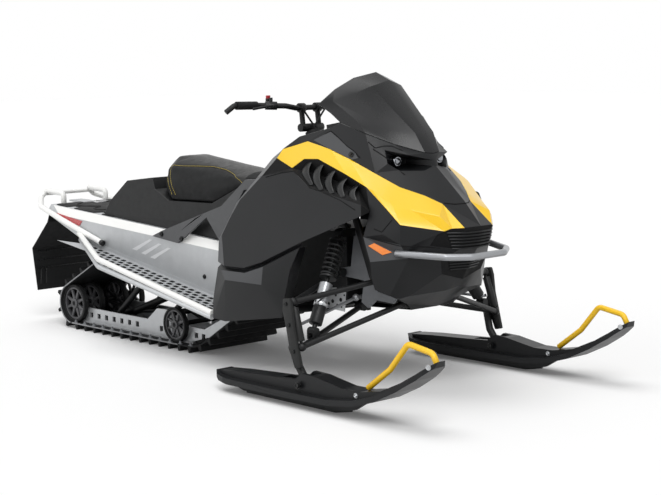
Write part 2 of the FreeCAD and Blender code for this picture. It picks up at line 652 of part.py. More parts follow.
def lamp_pocket():
    """Corners and facets of a lamp's pocket: a flat back wall behind the rim, with slanted sides."""
    back_share = 0.437
    centre_y_share = 0.262
    centre_z_share = 0.889
    shrink_share = 0.74
    corners = {}
    facets = []
    for name in lamp_rim:
        x, y, z = net_shares[name]
        corners["back_of_" + name] = (back_share, centre_y_share + shrink_share * (y - centre_y_share),
                                      centre_z_share + shrink_share * (z - centre_z_share))
    for first, second in zip(lamp_rim, lamp_rim[1:] + lamp_rim[:1]):
        facets.append((first, second, "back_of_" + second))
        facets.append((first, "back_of_" + second, "back_of_" + first))
    for second, third in zip(lamp_rim[1:], lamp_rim[2:]):
        facets.append(("back_of_lamp_1", "back_of_" + second, "back_of_" + third))
    return corners, facets


class Net:
    """A skin of flat triangles over named corners, mirrored about the middle plane."""

    def __init__(self, shares, panels, inside):
        """Takes the corners, the panels' lists of facets and a place inside the skin."""
        self.shares = shares
        self.panels = {name: self.two_halves(facets) for name, facets in panels.items()}
        self.turn_alike(at(*inside))
        self.normals = self.corner_normals()

    def corner(self, key):
        """The place of a corner, given as (name, side)."""
        name, side = key
        return at(*self.shares[name], side=side)

    def two_halves(self, facets):
        """The facets of both halves, with shared corners on the middle plane."""
        halves = []
        for side in (1, -1):
            for facet in facets:
                halves.append(tuple((name, side if self.shares[name][1] else 1) for name in facet))
        return halves

    def turn_alike(self, inside):
        """Turns each facet so that its corners run anticlockwise as seen from outside."""
        facets = [[name, index, facet] for name, rows in self.panels.items()
                  for index, facet in enumerate(rows)]
        by_edge = {}
        for number, (_, _, facet) in enumerate(facets):
            for a, b in zip(facet, facet[1:] + facet[:1]):
                by_edge.setdefault(frozenset((a, b)), []).append(number)
        waiting = sorted(range(len(facets)), key=lambda n: -abs(self.facing(facets[n][2], inside)))
        done = set()
        for seed in waiting:
            if seed in done:
                continue
            if self.facing(facets[seed][2], inside) < 0:
                facets[seed][2] = facets[seed][2][::-1]
            done.add(seed)
            stack = [seed]
            while stack:
                facet = facets[stack.pop()][2]
                for a, b in zip(facet, facet[1:] + facet[:1]):
                    for other in by_edge[frozenset((a, b))]:
                        if other in done:
                            continue
                        near = facets[other][2]
                        if (a, b) in zip(near, near[1:] + near[:1]):
                            facets[other][2] = near[::-1]
                        done.add(other)
                        stack.append(other)
        for name, index, facet in facets:
            self.panels[name][index] = facet

    def facing(self, facet, inside):
        """How squarely a facet looks away from the inside, from -1 to 1."""
        a, b, c = [self.corner(key) for key in facet]
        normal = (b - a).cross(c - a).normalize()
        return normal.dot(((a + b + c) / 3 - inside).normalize())

    def corner_normals(self):
        """The mean outward direction at each corner, over all panels that meet there."""
        sums = {}
        for facets in self.panels.values():
            for facet in facets:
                a, b, c = [self.corner(key) for key in facet]
                normal = (b - a).cross(c - a).normalize()
                for key, p, q, r in zip(facet, (a, b, c), (b, c, a), (c, a, b)):
                    weight = (q - p).getAngle(r - p)
                    sums[key] = sums.get(key, Vector(0, 0, 0)) + normal * weight
        return {key: total.normalize() for key, total in sums.items()}

    def inner(self, key, wall):
        """The corner's place on the inner face of a wall."""
        return self.corner(key) - self.normals[key] * wall

    def patches(self, facets):
        """The facets in groups that hang together over shared edges."""
        groups = []
        for facet in facets:
            edges = {frozenset(pair) for pair in zip(facet, facet[1:] + facet[:1])}
            near = [group for group in groups if group[0] & edges]
            groups = [group for group in groups if not group[0] & edges]
            all_edges = edges.union(*[group[0] for group in near])
            groups.append((all_edges, sum([group[1] for group in near], []) + [facet]))
        return [group[1] for group in groups]

    def panel(self, name, wall):
        """The solids of one panel, one for each patch."""
        solids = [self.patch(group, wall) for group in self.patches(self.panels[name])]
        return solids[0] if len(solids) == 1 else Part.makeCompound(solids)

    def patch(self, facets, wall):
        """The closed solid of one patch of facets."""
        counts = {}
        for facet in facets:
            for a, b in zip(facet, facet[1:] + facet[:1]):
                counts[frozenset((a, b))] = counts.get(frozenset((a, b)), 0) + 1
        faces = []
        for facet in facets:
            faces.append(flat_face([self.corner(key) for key in facet]))
            faces.append(flat_face([self.inner(key, wall) for key in facet[::-1]]))
        for edge, count in counts.items():
            if count == 1:
                a, b = sorted(edge)
                faces.append(flat_face([self.corner(a), self.corner(b), self.inner(b, wall)]))
                faces.append(flat_face([self.corner(a), self.inner(b, wall), self.inner(a, wall)]))
        return solid_of(faces)


pocket_corners, pocket_facets = lamp_pocket()
inside_body_shares = (0.30, 0.0, 0.60)
inside_screen_shares = (0.30, 0.0, 0.95)
body_net = Net(
    {**net_shares, **pocket_corners},
    {
        "hood": hood_facets + pocket_facets,
        "accent": accent_facets,
        "console": console_facets,
        "side": side_panel_facets,
        "vents": vent_facets,
        "lower": lower_panel_facets,
        "cowl": cowl_facets,
        "grilles": grille_facets,
        "belly": belly_facets,
    },
    inside_body_shares,
)
screen_net = Net(screen_shares, {"screen": screen_facets}, inside_screen_shares)


def console():
    """The console with the hole that the steering post comes out of."""
    axis = steering_axis()
    hole = rod(post_top() - axis * post_hole_reach, post_top(), post_radius + run_clearance)
    return body_net.panel("console", panel_wall).cut(hole)


def tunnel_top(x):
    """Height of the tunnel's upper face at x."""
    rear, front = place("tunnel_rear"), place("tunnel_front")
    return rear.z + (front.z - rear.z) * (x - rear.x) / (front.x - rear.x)


def board_height(x):
    """Height of the running board's upper face at x."""
    rear, front = place("board_rear"), place("board_front")
    return rear.z + (front.z - rear.z) * (x - rear.x) / (front.x - rear.x)


def tunnel_rear_x():
    """Where the tunnel's top ends behind."""
    return place("tunnel_rear").x


def tunnel():
    """The folded sheet over the track: top, chamfers and two sides."""
    rear_x, cut_x, front_x = tunnel_rear_x(), place("side_cut").x, place("tunnel_end").x
    half, wall = tunnel_half_width, tunnel_wall

    def section(x, inset):
        top = tunnel_top(x) - inset
        edge = half - inset
        shoulder = edge - tunnel_chamfer
        low = board_height(max(x, cut_x)) - (overrun if inset else 0)
        return [Vector(x, -edge, low), Vector(x, -edge, top - tunnel_chamfer_drop), Vector(x, -shoulder, top),
                Vector(x, shoulder, top), Vector(x, edge, top - tunnel_chamfer_drop), Vector(x, edge, low)]

    def block(inset, first_x, last_x):
        rings = [Part.makePolygon(section(x, inset) + section(x, inset)[:1]) for x in (first_x, last_x)]
        return Part.makeLoft(rings, True, True)

    shell = block(0, rear_x, front_x).cut(block(wall, rear_x - overrun, front_x + overrun))
    slant = [(rear_x - overrun, tunnel_top(rear_x) - tunnel_chamfer_drop),
             (cut_x, board_height(cut_x) - overrun),
             (rear_x - overrun, board_height(cut_x) - overrun)]
    shell = shell.cut(side_plate(slant, 0, 2 * half + overrun))
    for share in accessory_hole_shares:
        for side in (-1, 1):
            x = share * body_length
            spot = Vector(x, side * (half - 2 * tunnel_chamfer), tunnel_top(x))
            rise = Vector(0, 0, 2 * overrun)
            shell = shell.cut(rod(spot - rise, spot + rise, accessory_hole_radius))
    return shell


def tunnel_with_hitch():
    """The tunnel and the hitch tongue on its rear end."""
    return fused([tunnel(), rear_hitch()])


def board_outline(side):
    """Corners of a running board in plan: two along the tunnel and three along the tube."""
    edges = {"inner": tunnel_half_width + seat_gap, "outer": board_half_width}
    return [Vector(x * body_length, side * edges[edge], board_height(x * body_length))
            for x, edge in board_plan_shares]


def running_board(side):
    """A footboard from the tunnel's foot to the tube along its edge."""
    outline = board_outline(side)
    deck = prism(outline, Vector(0, 0, -board_thickness))
    rise = Vector(0, 0, -board_thickness / 2)
    tube = bent_tube([point + rise for point in outline[:3]], board_tube_radius, 6 * board_tube_radius)
    inner = tunnel_half_width + seat_gap
    flange = prism([outline[0], outline[3], outline[3] + Vector(0, 0, 3 * board_thickness),
                    outline[0] + Vector(0, 0, 3 * board_thickness)], Vector(0, side * board_thickness / 2, 0))
    keep = box(Vector(outline[0].x - 9 * overrun, min(side * inner, side * 2 * board_half_width), 0),
               Vector(outline[2].x, max(side * inner, side * 2 * board_half_width), dash_height))
    return fused([deck, tube, flange]).common(keep)


def rear_bumper():
    """The white tube along the tunnel's cut edge, round the back and down onto the tunnel."""
    offset = tunnel_half_width + rear_bumper_radius + seat_gap
    left = [Vector(x * body_length, offset * y, z * dash_height) for x, y, z in rear_bumper_shares]
    foot = Vector(left[-1].x, left[-1].y, tunnel_top(left[-1].x - rear_bumper_radius) + seat_gap)
    tube = bent_tube(left + [foot], rear_bumper_radius, rear_bumper_bend)
    middle = (left[3] + left[4]) / 2
    cross = rod(middle, Vector(middle.x, -middle.y, middle.z), grab_radius)
    return fused([tube, mirrored(tube), cross])


def rear_hitch():
    """The tongue on the tunnel's rear end with the hole for a tow pin."""
    rear_x = tunnel_rear_x()
    front_x = rear_x + hitch_length
    edge_z = tunnel_top(rear_x)
    end_x = rear_x - hitch_length
    outline = [(front_x, tunnel_top(front_x) - tunnel_wall / 2), (rear_x, edge_z - tunnel_wall / 2),
               (end_x, edge_z),
               (end_x, edge_z + hitch_plate), (rear_x, edge_z + hitch_plate),
               (front_x, tunnel_top(front_x) + hitch_plate)]
    plate = side_plate(outline, 0, hitch_width)
    hole = Part.makeCylinder(hitch_hole_radius, 4 * hitch_plate,
                             Vector(end_x + hitch_width / 3, 0, edge_z - hitch_plate))
    return plate.cut(hole)


def snow_flap():
    """The rubber flap behind the track, hung from the tunnel's rear edge."""
    thick = 2 * tunnel_wall
    top = Vector(tunnel_rear_x() - seat_gap - thick, 0, tunnel_top(tunnel_rear_x()) - tunnel_wall)
    top.y = flap_top_share * half_width
    hang = place("flap_hang")
    hang.x = top.x
    stations = [top, hang, place("flap_knee"), place("flap_foot")]
    leaves = []
    for upper, lower in zip(stations, stations[1:]):
        corners = [Vector(upper.x, -upper.y, upper.z), upper, lower, Vector(lower.x, -lower.y, lower.z)]
        leaves.append(prism(corners, Vector(thick, 0, 0)))
    return fused(leaves)


def tail_reflectors():
    """A red wedge on each side of the tunnel's rear end."""
    outline = outline_of(reflector_outline_shares)
    return both(side_plate(outline, tunnel_half_width + tunnel_wall + seat_gap, 2 * tunnel_wall))


def height_along(line, x_share):
    """The height share of a line of (x, z) shares at x_share."""
    for (x1, z1), (x2, z2) in zip(line, line[1:]):
        if x1 <= x_share <= x2:
            return z1 + (z2 - z1) * (x_share - x1) / (x2 - x1)
    return line[-1][1]


def seat_base():
    """The dark base under the seat, with its rear step."""
    low, shoulder, above = place("base_rear"), place("base_shoulder"), place("base_above")
    top = [at(x, 0, z) for x, z in base_top_shares]
    wall_low = at(*net_shares["pod_mid_7"]) - Vector(2 * seat_gap, 0, 0)
    profile = top + [wall_low, Vector(wall_low.x, 0, tunnel_top(wall_low.x) + 2 * seat_gap),
                     Vector(low.x, 0, tunnel_top(low.x) + 2 * seat_gap)]
    body = prism([point - Vector(0, low.y, 0) for point in profile], Vector(0, 2 * low.y, 0))
    behind = low.x - overrun
    slant = [Vector(behind, low.y, low.z), Vector(behind, shoulder.y, shoulder.z),
             Vector(behind, low.y + overrun, above.z), Vector(behind, low.y + overrun, low.z)]
    trim = prism(slant, Vector(above.x - behind, 0, 0))
    return body.cut(trim).cut(mirrored(trim))


def seat():
    """The saddle as a plain closed pad."""
    rings = []
    for x, high, half in seat_shares:
        low = height_along(base_top_shares, x)
        rise = high - low
        ring = [at(x, half, low), at(x, half * seat_waist_share, low + seat_waist_rise_share * rise),
                at(x, half * seat_shoulder_share, low + seat_shoulder_rise_share * rise),
                at(x, half * seat_crown_share, high - seat_crown_drop_share * rise)]
        ring = [point + Vector(0, 0, seat_gap) for point in ring]
        ring += [Vector(point.x, -point.y, point.z) for point in ring[::-1]]
        rings.append(Part.makePolygon(ring + ring[:1]))
    return Part.makeLoft(rings, True, True)


def upper_frame():
    """Two flat struts from the tunnel to a cross bar that carries the steering bearing."""
    inner = tunnel_half_width + seat_gap
    middle = inner + strut_wall / 2
    strut = side_plate(outline_of(strut_outline_shares), middle, strut_wall)
    strut = strut.cut(side_plate(outline_of(strut_window_shares), middle, 2 * strut_wall))
    high = place("cross_bar") + Vector(0, middle, 0)
    cross = rod(high, Vector(high.x, -high.y, high.z), frame_tube_radius)
    axis = steering_axis()
    foot = bearing_place()
    holder = rod(foot, foot + axis * bearing_length, post_radius + bearing_wall)
    stays = [rod(high + Vector(0, -middle * share, 0), foot + axis * (bearing_length / 2), frame_tube_radius)
             for share in stay_shares]
    lean = Vector(-frame_tube_radius - casting_wall, wing_offset() - shock_top().y, frame_tube_radius)
    leg = rod(high, shock_top() + lean, frame_tube_radius)
    whole = fused([strut, mirrored(strut), cross, holder, leg, mirrored(leg)] + stays)
    bore = rod(foot - axis * overrun, foot + axis * (bearing_length + overrun), post_radius + pin_clearance)
    return whole.cut(bore)


def steering_axis():
    """Upward direction of the steering post, leaning back."""
    return Vector(-post_tilt_share, 0, 1).normalize()


def post_top():
    """The place where the handlebar's risers stand on the post."""
    return place("post_top")


def bearing_place():
    """Lower end of the post's bearing."""
    return post_top() - steering_axis() * post_reach


def shock_top():
    """Centre of the left shock's upper eye, outside the side plate."""
    return place("shock_top") + Vector(0, wing_offset() + shock_stand, 0)


def shock_foot():
    """Centre of the left shock's lower eye, over the brace of the lower arm."""
    front, rear = arm_places(shock_foot_share)
    return (front + rear) / 2 + Vector(-shock_foot_back, 0, shock_foot_lift)


def arm_places(share):
    """Places on the lower arm's two tubes at a share of the way from the ball to the pivots."""
    ball = lower_ball()
    return [ball + (pivot - ball) * share for pivot in lower_pivots()]


def eye_ears(centre, reach):
    """Two ears beside a shock's eye, reaching to a place that carries them."""
    ears = []
    side = (reach - centre)
    side.x = 0
    for turn in (-1, 1):
        first = eye_width / 2 + seat_gap
        x_low = centre.x + (first if turn > 0 else -first - ear_wall)
        start = Vector(x_low, centre.y, centre.z)
        across = side.cross(Vector(1, 0, 0)).normalize() * eye_radius
        corners = [start - across, start + across, start + across + side, start - across + side]
        ear = prism(corners, Vector(ear_wall, 0, 0))
        cap = Part.makeCylinder(eye_radius, ear_wall, start, Vector(1, 0, 0))
        ears += [ear, cap]
    return ears


def wing_offset():
    """Middle of the side plates that stand off the module."""
    return module_half_width + wing_gap


def rack_place():
    """Middle of the bar that moves the tie rods."""
    return place("rack")


def front_frame():
    """The suspension module: a central casting, its side plates, towers and cross bar."""
    half = module_half_width

    def block(name, inset):
        low, high = place(name + "_rear"), place(name + "_front")
        side = Vector(0, half - inset, 0)
        return box(low - side, high + side)

    plate_y = wing_offset()
    out = Vector(0, plate_y, 0)
    side = side_plate(outline_of(wing_outline_shares), plate_y, casting_wall)
    links = [rod(place(name), place(name) + out, frame_tube_radius) for name in ("upper_link", "lower_link")]
    top = shock_top()
    tower_reach = Vector(top.x, plate_y, top.z)
    bar_end = Vector(top.x, plate_y + casting_wall / 2, top.z)
    bridge = rod(bar_end, Vector(bar_end.x, -bar_end.y, bar_end.z), frame_tube_radius)
    pieces = [side] + links + eye_ears(top, tower_reach)
    front_low, rear_low = lower_pivots()
    for pivot in (front_low, rear_low):
        foot = Vector(pivot.x, half, pivot.z)
        pieces.append(box(foot - Vector(pivot_length / 2, 2 * casting_wall, joint_radius),
                          foot + Vector(pivot_length / 2, 0, 3 * joint_radius)))
    middle = [block("casting", 0), block("core", 2 * casting_wall), bridge]
    whole = fused(middle + pieces + [mirrored(piece) for piece in pieces])
    bore = disc(rack_place(), rack_radius + pin_clearance, 4 * half)
    return whole.cut(block("pocket", 4 * casting_wall)).cut(bore)


def lower_pivots():
    """Front and rear inboard pivots of the left lower arm."""
    out = Vector(0, module_half_width + joint_radius + seat_gap, 0)
    return place("lower_pivot_front") + out, place("lower_pivot_rear") + out


def upper_pivots():
    """Front and rear inboard pivots of the left upper arm."""
    out = Vector(0, wing_offset() + casting_wall / 2 + joint_radius + seat_gap, 0)
    return place("upper_pivot_front") + out, place("upper_pivot_rear") + out


def lower_ball():
    """The left lower ball joint, on the steering axis."""
    return place("lower_ball") + Vector(0, lower_ball_share * ski_stance, 0)


def upper_ball():
    """The left upper ball joint, on the steering axis."""
    return place("upper_ball") + Vector(0, upper_ball_share * ski_stance, 0)


def spindle_axis():
    """Upward direction of the left steering axis."""
    return (upper_ball() - lower_ball()).normalize()


def arm(pivots, ball, stud_way):
    """A wishbone: two tubes from its pivots to the ball's housing, with the stud's hole."""
    pieces = [Part.makeSphere(joint_radius, ball)]
    half = Vector(pivot_length / 2, 0, 0)
    for pivot in pivots:
        pieces.append(rod(pivot, ball, arm_tube_radius))
        pieces.append(rod(pivot - half, pivot + half, joint_radius))
    whole = fused(pieces)
    return whole.cut(rod(ball, ball + stud_way * (2 * joint_radius), stud_radius + pin_clearance))


def lower_arm():
    """The left lower arm with the ears for the shock's foot."""
    foot = shock_foot()
    low_front, low_rear = arm_places(shock_foot_share)
    brace = rod(low_front, low_rear, arm_tube_radius)
    whole = arm(lower_pivots(), lower_ball(), spindle_axis())
    carried = Vector(foot.x, foot.y, (low_front.z + low_rear.z) / 2)
    return fused([whole, brace] + eye_ears(foot, carried))


def upper_arm():
    """The left upper arm."""
    return arm(upper_pivots(), upper_ball(), spindle_axis() * -1)


def shock():
    """The left shock absorber: eyes, shaft, body and the collars that hold the spring."""
    top, foot = shock_top(), shock_foot()
    way = (top - foot).normalize()
    length = top.distanceToPoint(foot)
    half = Vector(eye_width / 2, 0, 0)
    eyes = [rod(end - half, end + half, eye_radius - seat_gap) for end in (top, foot)]

    def along(start, end, radius):
        return rod(foot + way * start, foot + way * end, radius)

    clevis = along(eye_radius / 2, clevis_end_share * length, shock_clevis_radius)
    body = along(body_start_share * length, body_end_share * length, shock_body_radius)
    shaft = along(shaft_start_share * length, length - eye_radius / 2, shock_shaft_radius)
    collars = [along(share * length, share * length + collar_height, spring_coil_radius)
               for share in (low_collar_share, high_collar_share)]
    return fused(eyes + [clevis, body, shaft] + collars)


def spring():
    """The coil between the shock's collars."""
    top, foot = shock_top(), shock_foot()
    way = (top - foot).normalize()
    length = top.distanceToPoint(foot)
    low = low_collar_share * length + collar_height + spring_wire_radius + seat_gap
    high = high_collar_share * length - spring_wire_radius - seat_gap
    pitch = (high - low) / spring_turns
    coil_radius = spring_coil_radius - spring_wire_radius
    helix = Part.makeHelix(pitch, high - low, coil_radius)
    ring = Part.Wire(Part.makeCircle(spring_wire_radius, Vector(coil_radius, 0, 0), Vector(0, 1, 0)))
    coil = Part.Wire(helix.Edges).makePipeShell([ring], True, True)
    coil.rotate(Vector(0, 0, 0), Vector(0, 0, 1).cross(way), math.degrees(Vector(0, 0, 1).getAngle(way)))
    coil.translate(foot + way * low)
    return coil


def spindle_left():
    """The knuckle: a barrel on the steering axis, its leg, foot, studs and steering arm."""
    low, high = lower_ball(), upper_ball()
    axis = spindle_axis()
    bolt = ski_bolt()
    gap = joint_radius + run_clearance
    barrel = rod(low + axis * gap, high - axis * gap, spindle_barrel_radius)
    studs = [rod(low + axis * stud_radius, low + axis * (gap + run_clearance), stud_radius),
             rod(high - axis * stud_radius, high - axis * (gap + run_clearance), stud_radius)]
    knee = low + Vector(-knee_back_share, knee_out_share, -knee_drop_share) * spindle_leg_radius
    ankle = bolt + Vector(-ankle_back_share, 0, ankle_rise_share) * spindle_leg_radius
    root = low + axis * (leg_root_share * low.distanceToPoint(high))
    leg = [rod(root, knee, spindle_leg_radius), Part.makeSphere(spindle_leg_radius, knee),
           rod(knee, ankle, spindle_leg_radius), Part.makeSphere(spindle_leg_radius, ankle),
           rod(ankle, bolt, spindle_leg_radius), disc(bolt, spindle_foot_radius, spindle_width)]
    whole = whole_spindle([barrel] + studs + leg)
    return whole.cut(disc(bolt, ski_bolt_radius + pin_clearance, 4 * spindle_width))


def whole_spindle(pieces):
    """The knuckle's pieces with its steering arm, a plate square to the steering axis."""
    axis = spindle_axis()
    way = steering_arm_way()
    end = steering_arm_end()
    root = end - way * steering_arm_length
    across = axis.cross(way).normalize() * spindle_barrel_radius
    lift = axis * (steering_arm_wall / 2)
    corners = [root - across, root + across, end + across, end - across]
    plate = prism([corner - lift for corner in corners], lift * 2)
    nose = rod(end - lift, end + lift, spindle_barrel_radius)
    return fused(pieces + [plate, nose])


def steering_arm_way():
    """Rearward direction of the left steering arm, square to the steering axis."""
    axis = spindle_axis()
    back = Vector(-1, 0, 0)
    return (back - axis * back.dot(axis)).normalize()


def steering_arm_end():
    """Centre of the left steering arm's outer end."""
    reach = lower_ball().distanceToPoint(upper_ball())
    root = lower_ball() + spindle_axis() * (steering_arm_share * reach)
    return root + steering_arm_way() * steering_arm_length


def tie_rods():
    """The rack bar through the module with both tie rods; their eyes lie over the knuckles' arms."""
    rack = rack_place()
    knob = rack_knob_share * rack_radius
    reach = module_half_width + rack_travel + 2 * run_clearance + knob
    bar = rod(rack - Vector(0, reach, 0), rack + Vector(0, reach, 0), rack_radius)
    end = rack + Vector(0, reach, 0)
    axis = spindle_axis()
    eye = steering_arm_end() + axis * (steering_arm_wall + eye_lift)
    half_eye = axis * (steering_arm_wall / 2)
    left = [Part.makeSphere(knob, end), rod(end, eye, tie_rod_radius),
            rod(eye - half_eye, eye + half_eye, spindle_barrel_radius)]
    return fused([bar] + left + [mirrored(piece) for piece in left])


def bar_half():
    """The left half of the handlebar's line, from the clamps to the hooked end."""
    return [at(*shares) for shares in bar_line_shares]


def handlebar():
    """The bent bar with its hooked ends."""
    half = bar_half()
    path = [Vector(point.x, -point.y, point.z) for point in half[::-1]] + half
    return bent_tube(path, bar_radius, bar_bend_share * bar_radius)


def clamp_place():
    """Centre of the left clamp on the bar's straight middle."""
    return place("clamp")


def handlebar_riser():
    """The post's head with two risers and the clamps around the bar."""
    top = post_top()
    axis = steering_axis()
    foot = top - axis * riser_radius
    clamp = clamp_place()
    pieces = [disc(foot, head_radius, 2 * (clamp.y + head_radius))]
    for side in (-1, 1):
        end = Vector(clamp.x, side * clamp.y, clamp.z)
        pieces.append(rod(Vector(foot.x, side * clamp.y, foot.z), end, riser_radius))
        pieces.append(disc(end, bar_radius + bearing_wall, clamp_width))
    whole = fused(pieces)
    bar_hole = disc(clamp - Vector(0, clamp.y, 0), bar_radius + pin_clearance, 4 * clamp.y)
    return whole.cut(bar_hole)


def steering_post():
    """The post in its bearing, with the head, risers and clamps that hold the bar."""
    axis = steering_axis()
    post = rod(bearing_place() - axis * bearing_length, post_top() - axis * riser_radius, post_radius)
    return fused([post, handlebar_riser()])


def boot_place():
    """Lower end of the rubber boot round the post, above the console."""
    return post_top() - steering_axis() * (boot_height + boot_stand)


def post_boot():
    """The rubber boot on the post that takes the cables."""
    axis = steering_axis()
    low = boot_place()
    cone = Part.makeCone(boot_radius, boot_top_radius, boot_height, low, axis)
    bore = rod(low - axis * overrun, low + axis * (boot_height + overrun), post_radius + pin_clearance)
    return cone.cut(bore)


def grip_ends():
    """Inner and outer end of the left grip, on the bar's line."""
    elbow, hook = bar_half()[2:4]
    return elbow + (hook - elbow) * grip_start_share, elbow + (hook - elbow) * grip_end_share


def handlebar_grips():
    """A rubber sleeve over each end of the bar."""
    inner, outer = grip_ends()
    way = (outer - inner).normalize()
    sleeve = rod(inner, outer, grip_radius)
    return both(sleeve.cut(rod(inner - way * overrun, outer + way * overrun, bar_radius + seat_gap)))


def pod_line():
    """Inner and outer end of the left control pod, on the bar's slanted run."""
    knee, elbow = bar_half()[1:3]
    return knee + (elbow - knee) * pod_start_share, knee + (elbow - knee) * pod_end_share


def control_blocks():
    """Clamped control pods on the bar's slanted runs, each with a lever ahead of the grip and a button."""
    inner, outer = pod_line()
    way = (outer - inner).normalize()
    middle = (inner + outer) / 2
    ahead = Vector(1, 0, 0)
    root = middle + ahead * pod_radius
    knee = root + ahead * pod_radius + way * pod_radius
    tip = knee + Vector(-lever_drop, lever_reach, -lever_drop)
    lever = [rod(root, knee, lever_radius), Part.makeSphere(lever_radius, knee), rod(knee, tip, lever_radius),
             Part.makeSphere(lever_radius, tip)]
    button = rod(middle, middle + Vector(0, 0, button_height), button_radius)
    whole = fused([rod(inner, outer, pod_radius), button] + lever)
    return both(whole.cut(rod(inner - way * overrun, outer + way * overrun, bar_radius + seat_gap)))


def control_cables():
    """The cables from the pods along the bar and down to the post's boot."""
    inner, outer = pod_line()
    way = (outer - inner).normalize()
    ahead = Vector(1, 0, 0)
    forward = (ahead - way * ahead.dot(way)).normalize()
    start = inner + forward * (bar_radius + cable_gap_share * cable_radius) - way * seat_gap
    knee = start - way * (3 * pod_radius)
    clamp = clamp_place()
    over = clamp + Vector(bar_radius + bearing_wall + cable_over_share * cable_radius, 2 * riser_radius, 0)
    axis = steering_axis()
    boot_top = boot_place() + axis * (boot_height + seat_gap)
    side = Vector(axis.z, 0, -axis.x) * cable_side_share + Vector(0, cable_out_share, 0)
    into = boot_top + side * boot_radius
    path = [start, knee, over, into + axis * riser_radius * 2, into]
    return both(bent_tube(path, cable_radius, 3 * cable_radius))


def front_bumper(radius=front_bumper_radius):
    """The bent tube round the nose, with its ends inside the cowl; a larger radius gives the cowl's holes."""
    half = [at(*shares) for shares in front_bumper_shares]
    path = [Vector(point.x, -point.y, point.z) for point in half[::-1]] + half
    return bent_tube(path, radius, 2 * front_bumper_radius)


def headlamps():
    """A round lens in a bezel at the back of each pocket."""
    back = place("lamp") + Vector(seat_gap, 0, 0)
    case = rod(back, back + Vector(lamp_depth, 0, 0), lamp_radius)
    dome = Part.makeSphere(lens_radius, back + Vector(lens_set, 0, 0))
    dome = dome.common(rod(back, back + Vector(2 * lamp_depth, 0, 0), lamp_radius - lamp_bezel))
    return both(fused([case, dome]))

def side_reflectors():
    """An orange wedge on each side of the nose, on one flat facet of the cowl."""
    names = ("cowl_2", "corner_1", "skirt_1")
    a, b, c = [at(*net_shares[name]) for name in names]
    normal = (b - a).cross(c - a).normalize()
    if normal.y < 0:
        normal = normal * -1
    points = [a * u + b * v + c * w + normal * seat_gap for u, v, w in side_lens_shares]
    return both(prism(points, normal * reflector_wall))


def gauge():
    """The display on the dash behind the screen."""
    low, high = at(*net_shares["dash_0"]), at(*net_shares["deck"])
    along = (high - low).normalize()
    up = Vector(-along.z, 0, along.x)
    corner = low + along * gauge_setback + up * seat_gap
    side = Vector(0, gauge_width / 2, 0)
    reach = along * gauge_length
    points = [corner - side, corner + side, corner + side + reach, corner - side + reach]
    return prism(points, up * gauge_height)


def engine():
    """The engine as one plain block on the frame."""
    low = place("engine_front") - Vector(engine_length + seat_gap, engine_width / 2, 0)
    return box(low, low + Vector(engine_length, engine_width, engine_height))


def wheel_profile(radius, width):
    """A road wheel without spokes: rim, web and hub."""
    tyre = disc(Vector(0, 0, 0), radius, width).cut(disc(Vector(0, 0, 0), radius - wheel_rim, 2 * width))
    web = disc(Vector(0, 0, 0), radius - wheel_rim / 2, wheel_web)
    hub = disc(Vector(0, 0, 0), wheel_hub_radius, width)
    bore = disc(Vector(0, 0, 0), shaft_radius + pin_clearance, 2 * width)
    return fused([tyre, web, hub]).cut(bore)


def belt_inner():
    """Height of the belt's inner face on the ground run."""
    return belt_thickness + lug_height


def rear_axle():
    """Centre of the rear wheels."""
    return place("rear_axle") + Vector(0, 0, belt_inner() + rear_wheel_radius)


def middle_axle():
    """Centre of the middle wheels."""
    return place("middle_axle") + Vector(0, 0, belt_inner() + middle_wheel_radius)


def carrier_axle():
    """Centre of the upper wheels that hold the belt's return run."""
    return place("carrier")


def drive_centre():
    """Centre of the drive axle."""
    return place("drive")


def track_loop():
    """The belt's inner path as runs: (centre, radius) rollers in order from the rear wheel."""
    nose_radius = nose_roller_share * rear_wheel_radius
    return [(rear_axle(), rear_wheel_radius),
            (place("belt_nose") + Vector(0, 0, belt_inner() + nose_radius), nose_radius),
            (drive_centre(), drive_radius),
            (carrier_axle(), carrier_wheel_radius)]


def tangent_points(first, second):
    """Ends of the outer tangent between two rollers that both turn the same way, in the XZ plane."""
    (c1, r1), (c2, r2) = first, second
    line = c2 - c1
    reach = math.hypot(line.x, line.z)
    heading = math.atan2(line.z, line.x)
    lean = math.asin((r1 - r2) / reach)
    angle = heading - math.pi / 2 + lean
    way = Vector(math.cos(angle), 0, math.sin(angle))
    return c1 + way * r1, c2 + way * r2, angle


def belt_path():
    """The closed inner path as a list of (point, outward, length) pieces walked at even steps."""
    rollers = track_loop()
    tangents = [tangent_points(a, b) for a, b in zip(rollers, rollers[1:] + rollers[:1])]
    pieces = []
    for index, (start, end, angle) in enumerate(tangents):
        pieces.append(("run", start, end, angle))
        centre, radius = rollers[(index + 1) % len(rollers)]
        turn = (tangents[(index + 1) % len(tangents)][2] - angle) % (2 * math.pi)
        pieces.append(("arc", centre, radius, angle, turn))
    return pieces


def walk(pieces, distance):
    """The point and outward direction at a distance along the path."""
    for piece in pieces:
        if piece[0] == "run":
            _, start, end, angle = piece
            length = start.distanceToPoint(end)
            if distance <= length:
                outward = Vector(math.cos(angle), 0, math.sin(angle))
                return start + (end - start) * (distance / length), outward
        else:
            _, centre, radius, angle, turn = piece
            length = radius * turn
            if distance <= length:
                here = angle + distance / radius
                outward = Vector(math.cos(here), 0, math.sin(here))
                return centre + outward * radius, outward
        distance -= length
    return walk(pieces, 0)


def path_length(pieces):
    """Length of the whole path."""
    total = 0
    for piece in pieces:
        total += piece[1].distanceToPoint(piece[2]) if piece[0] == "run" else piece[2] * piece[4]
    return total


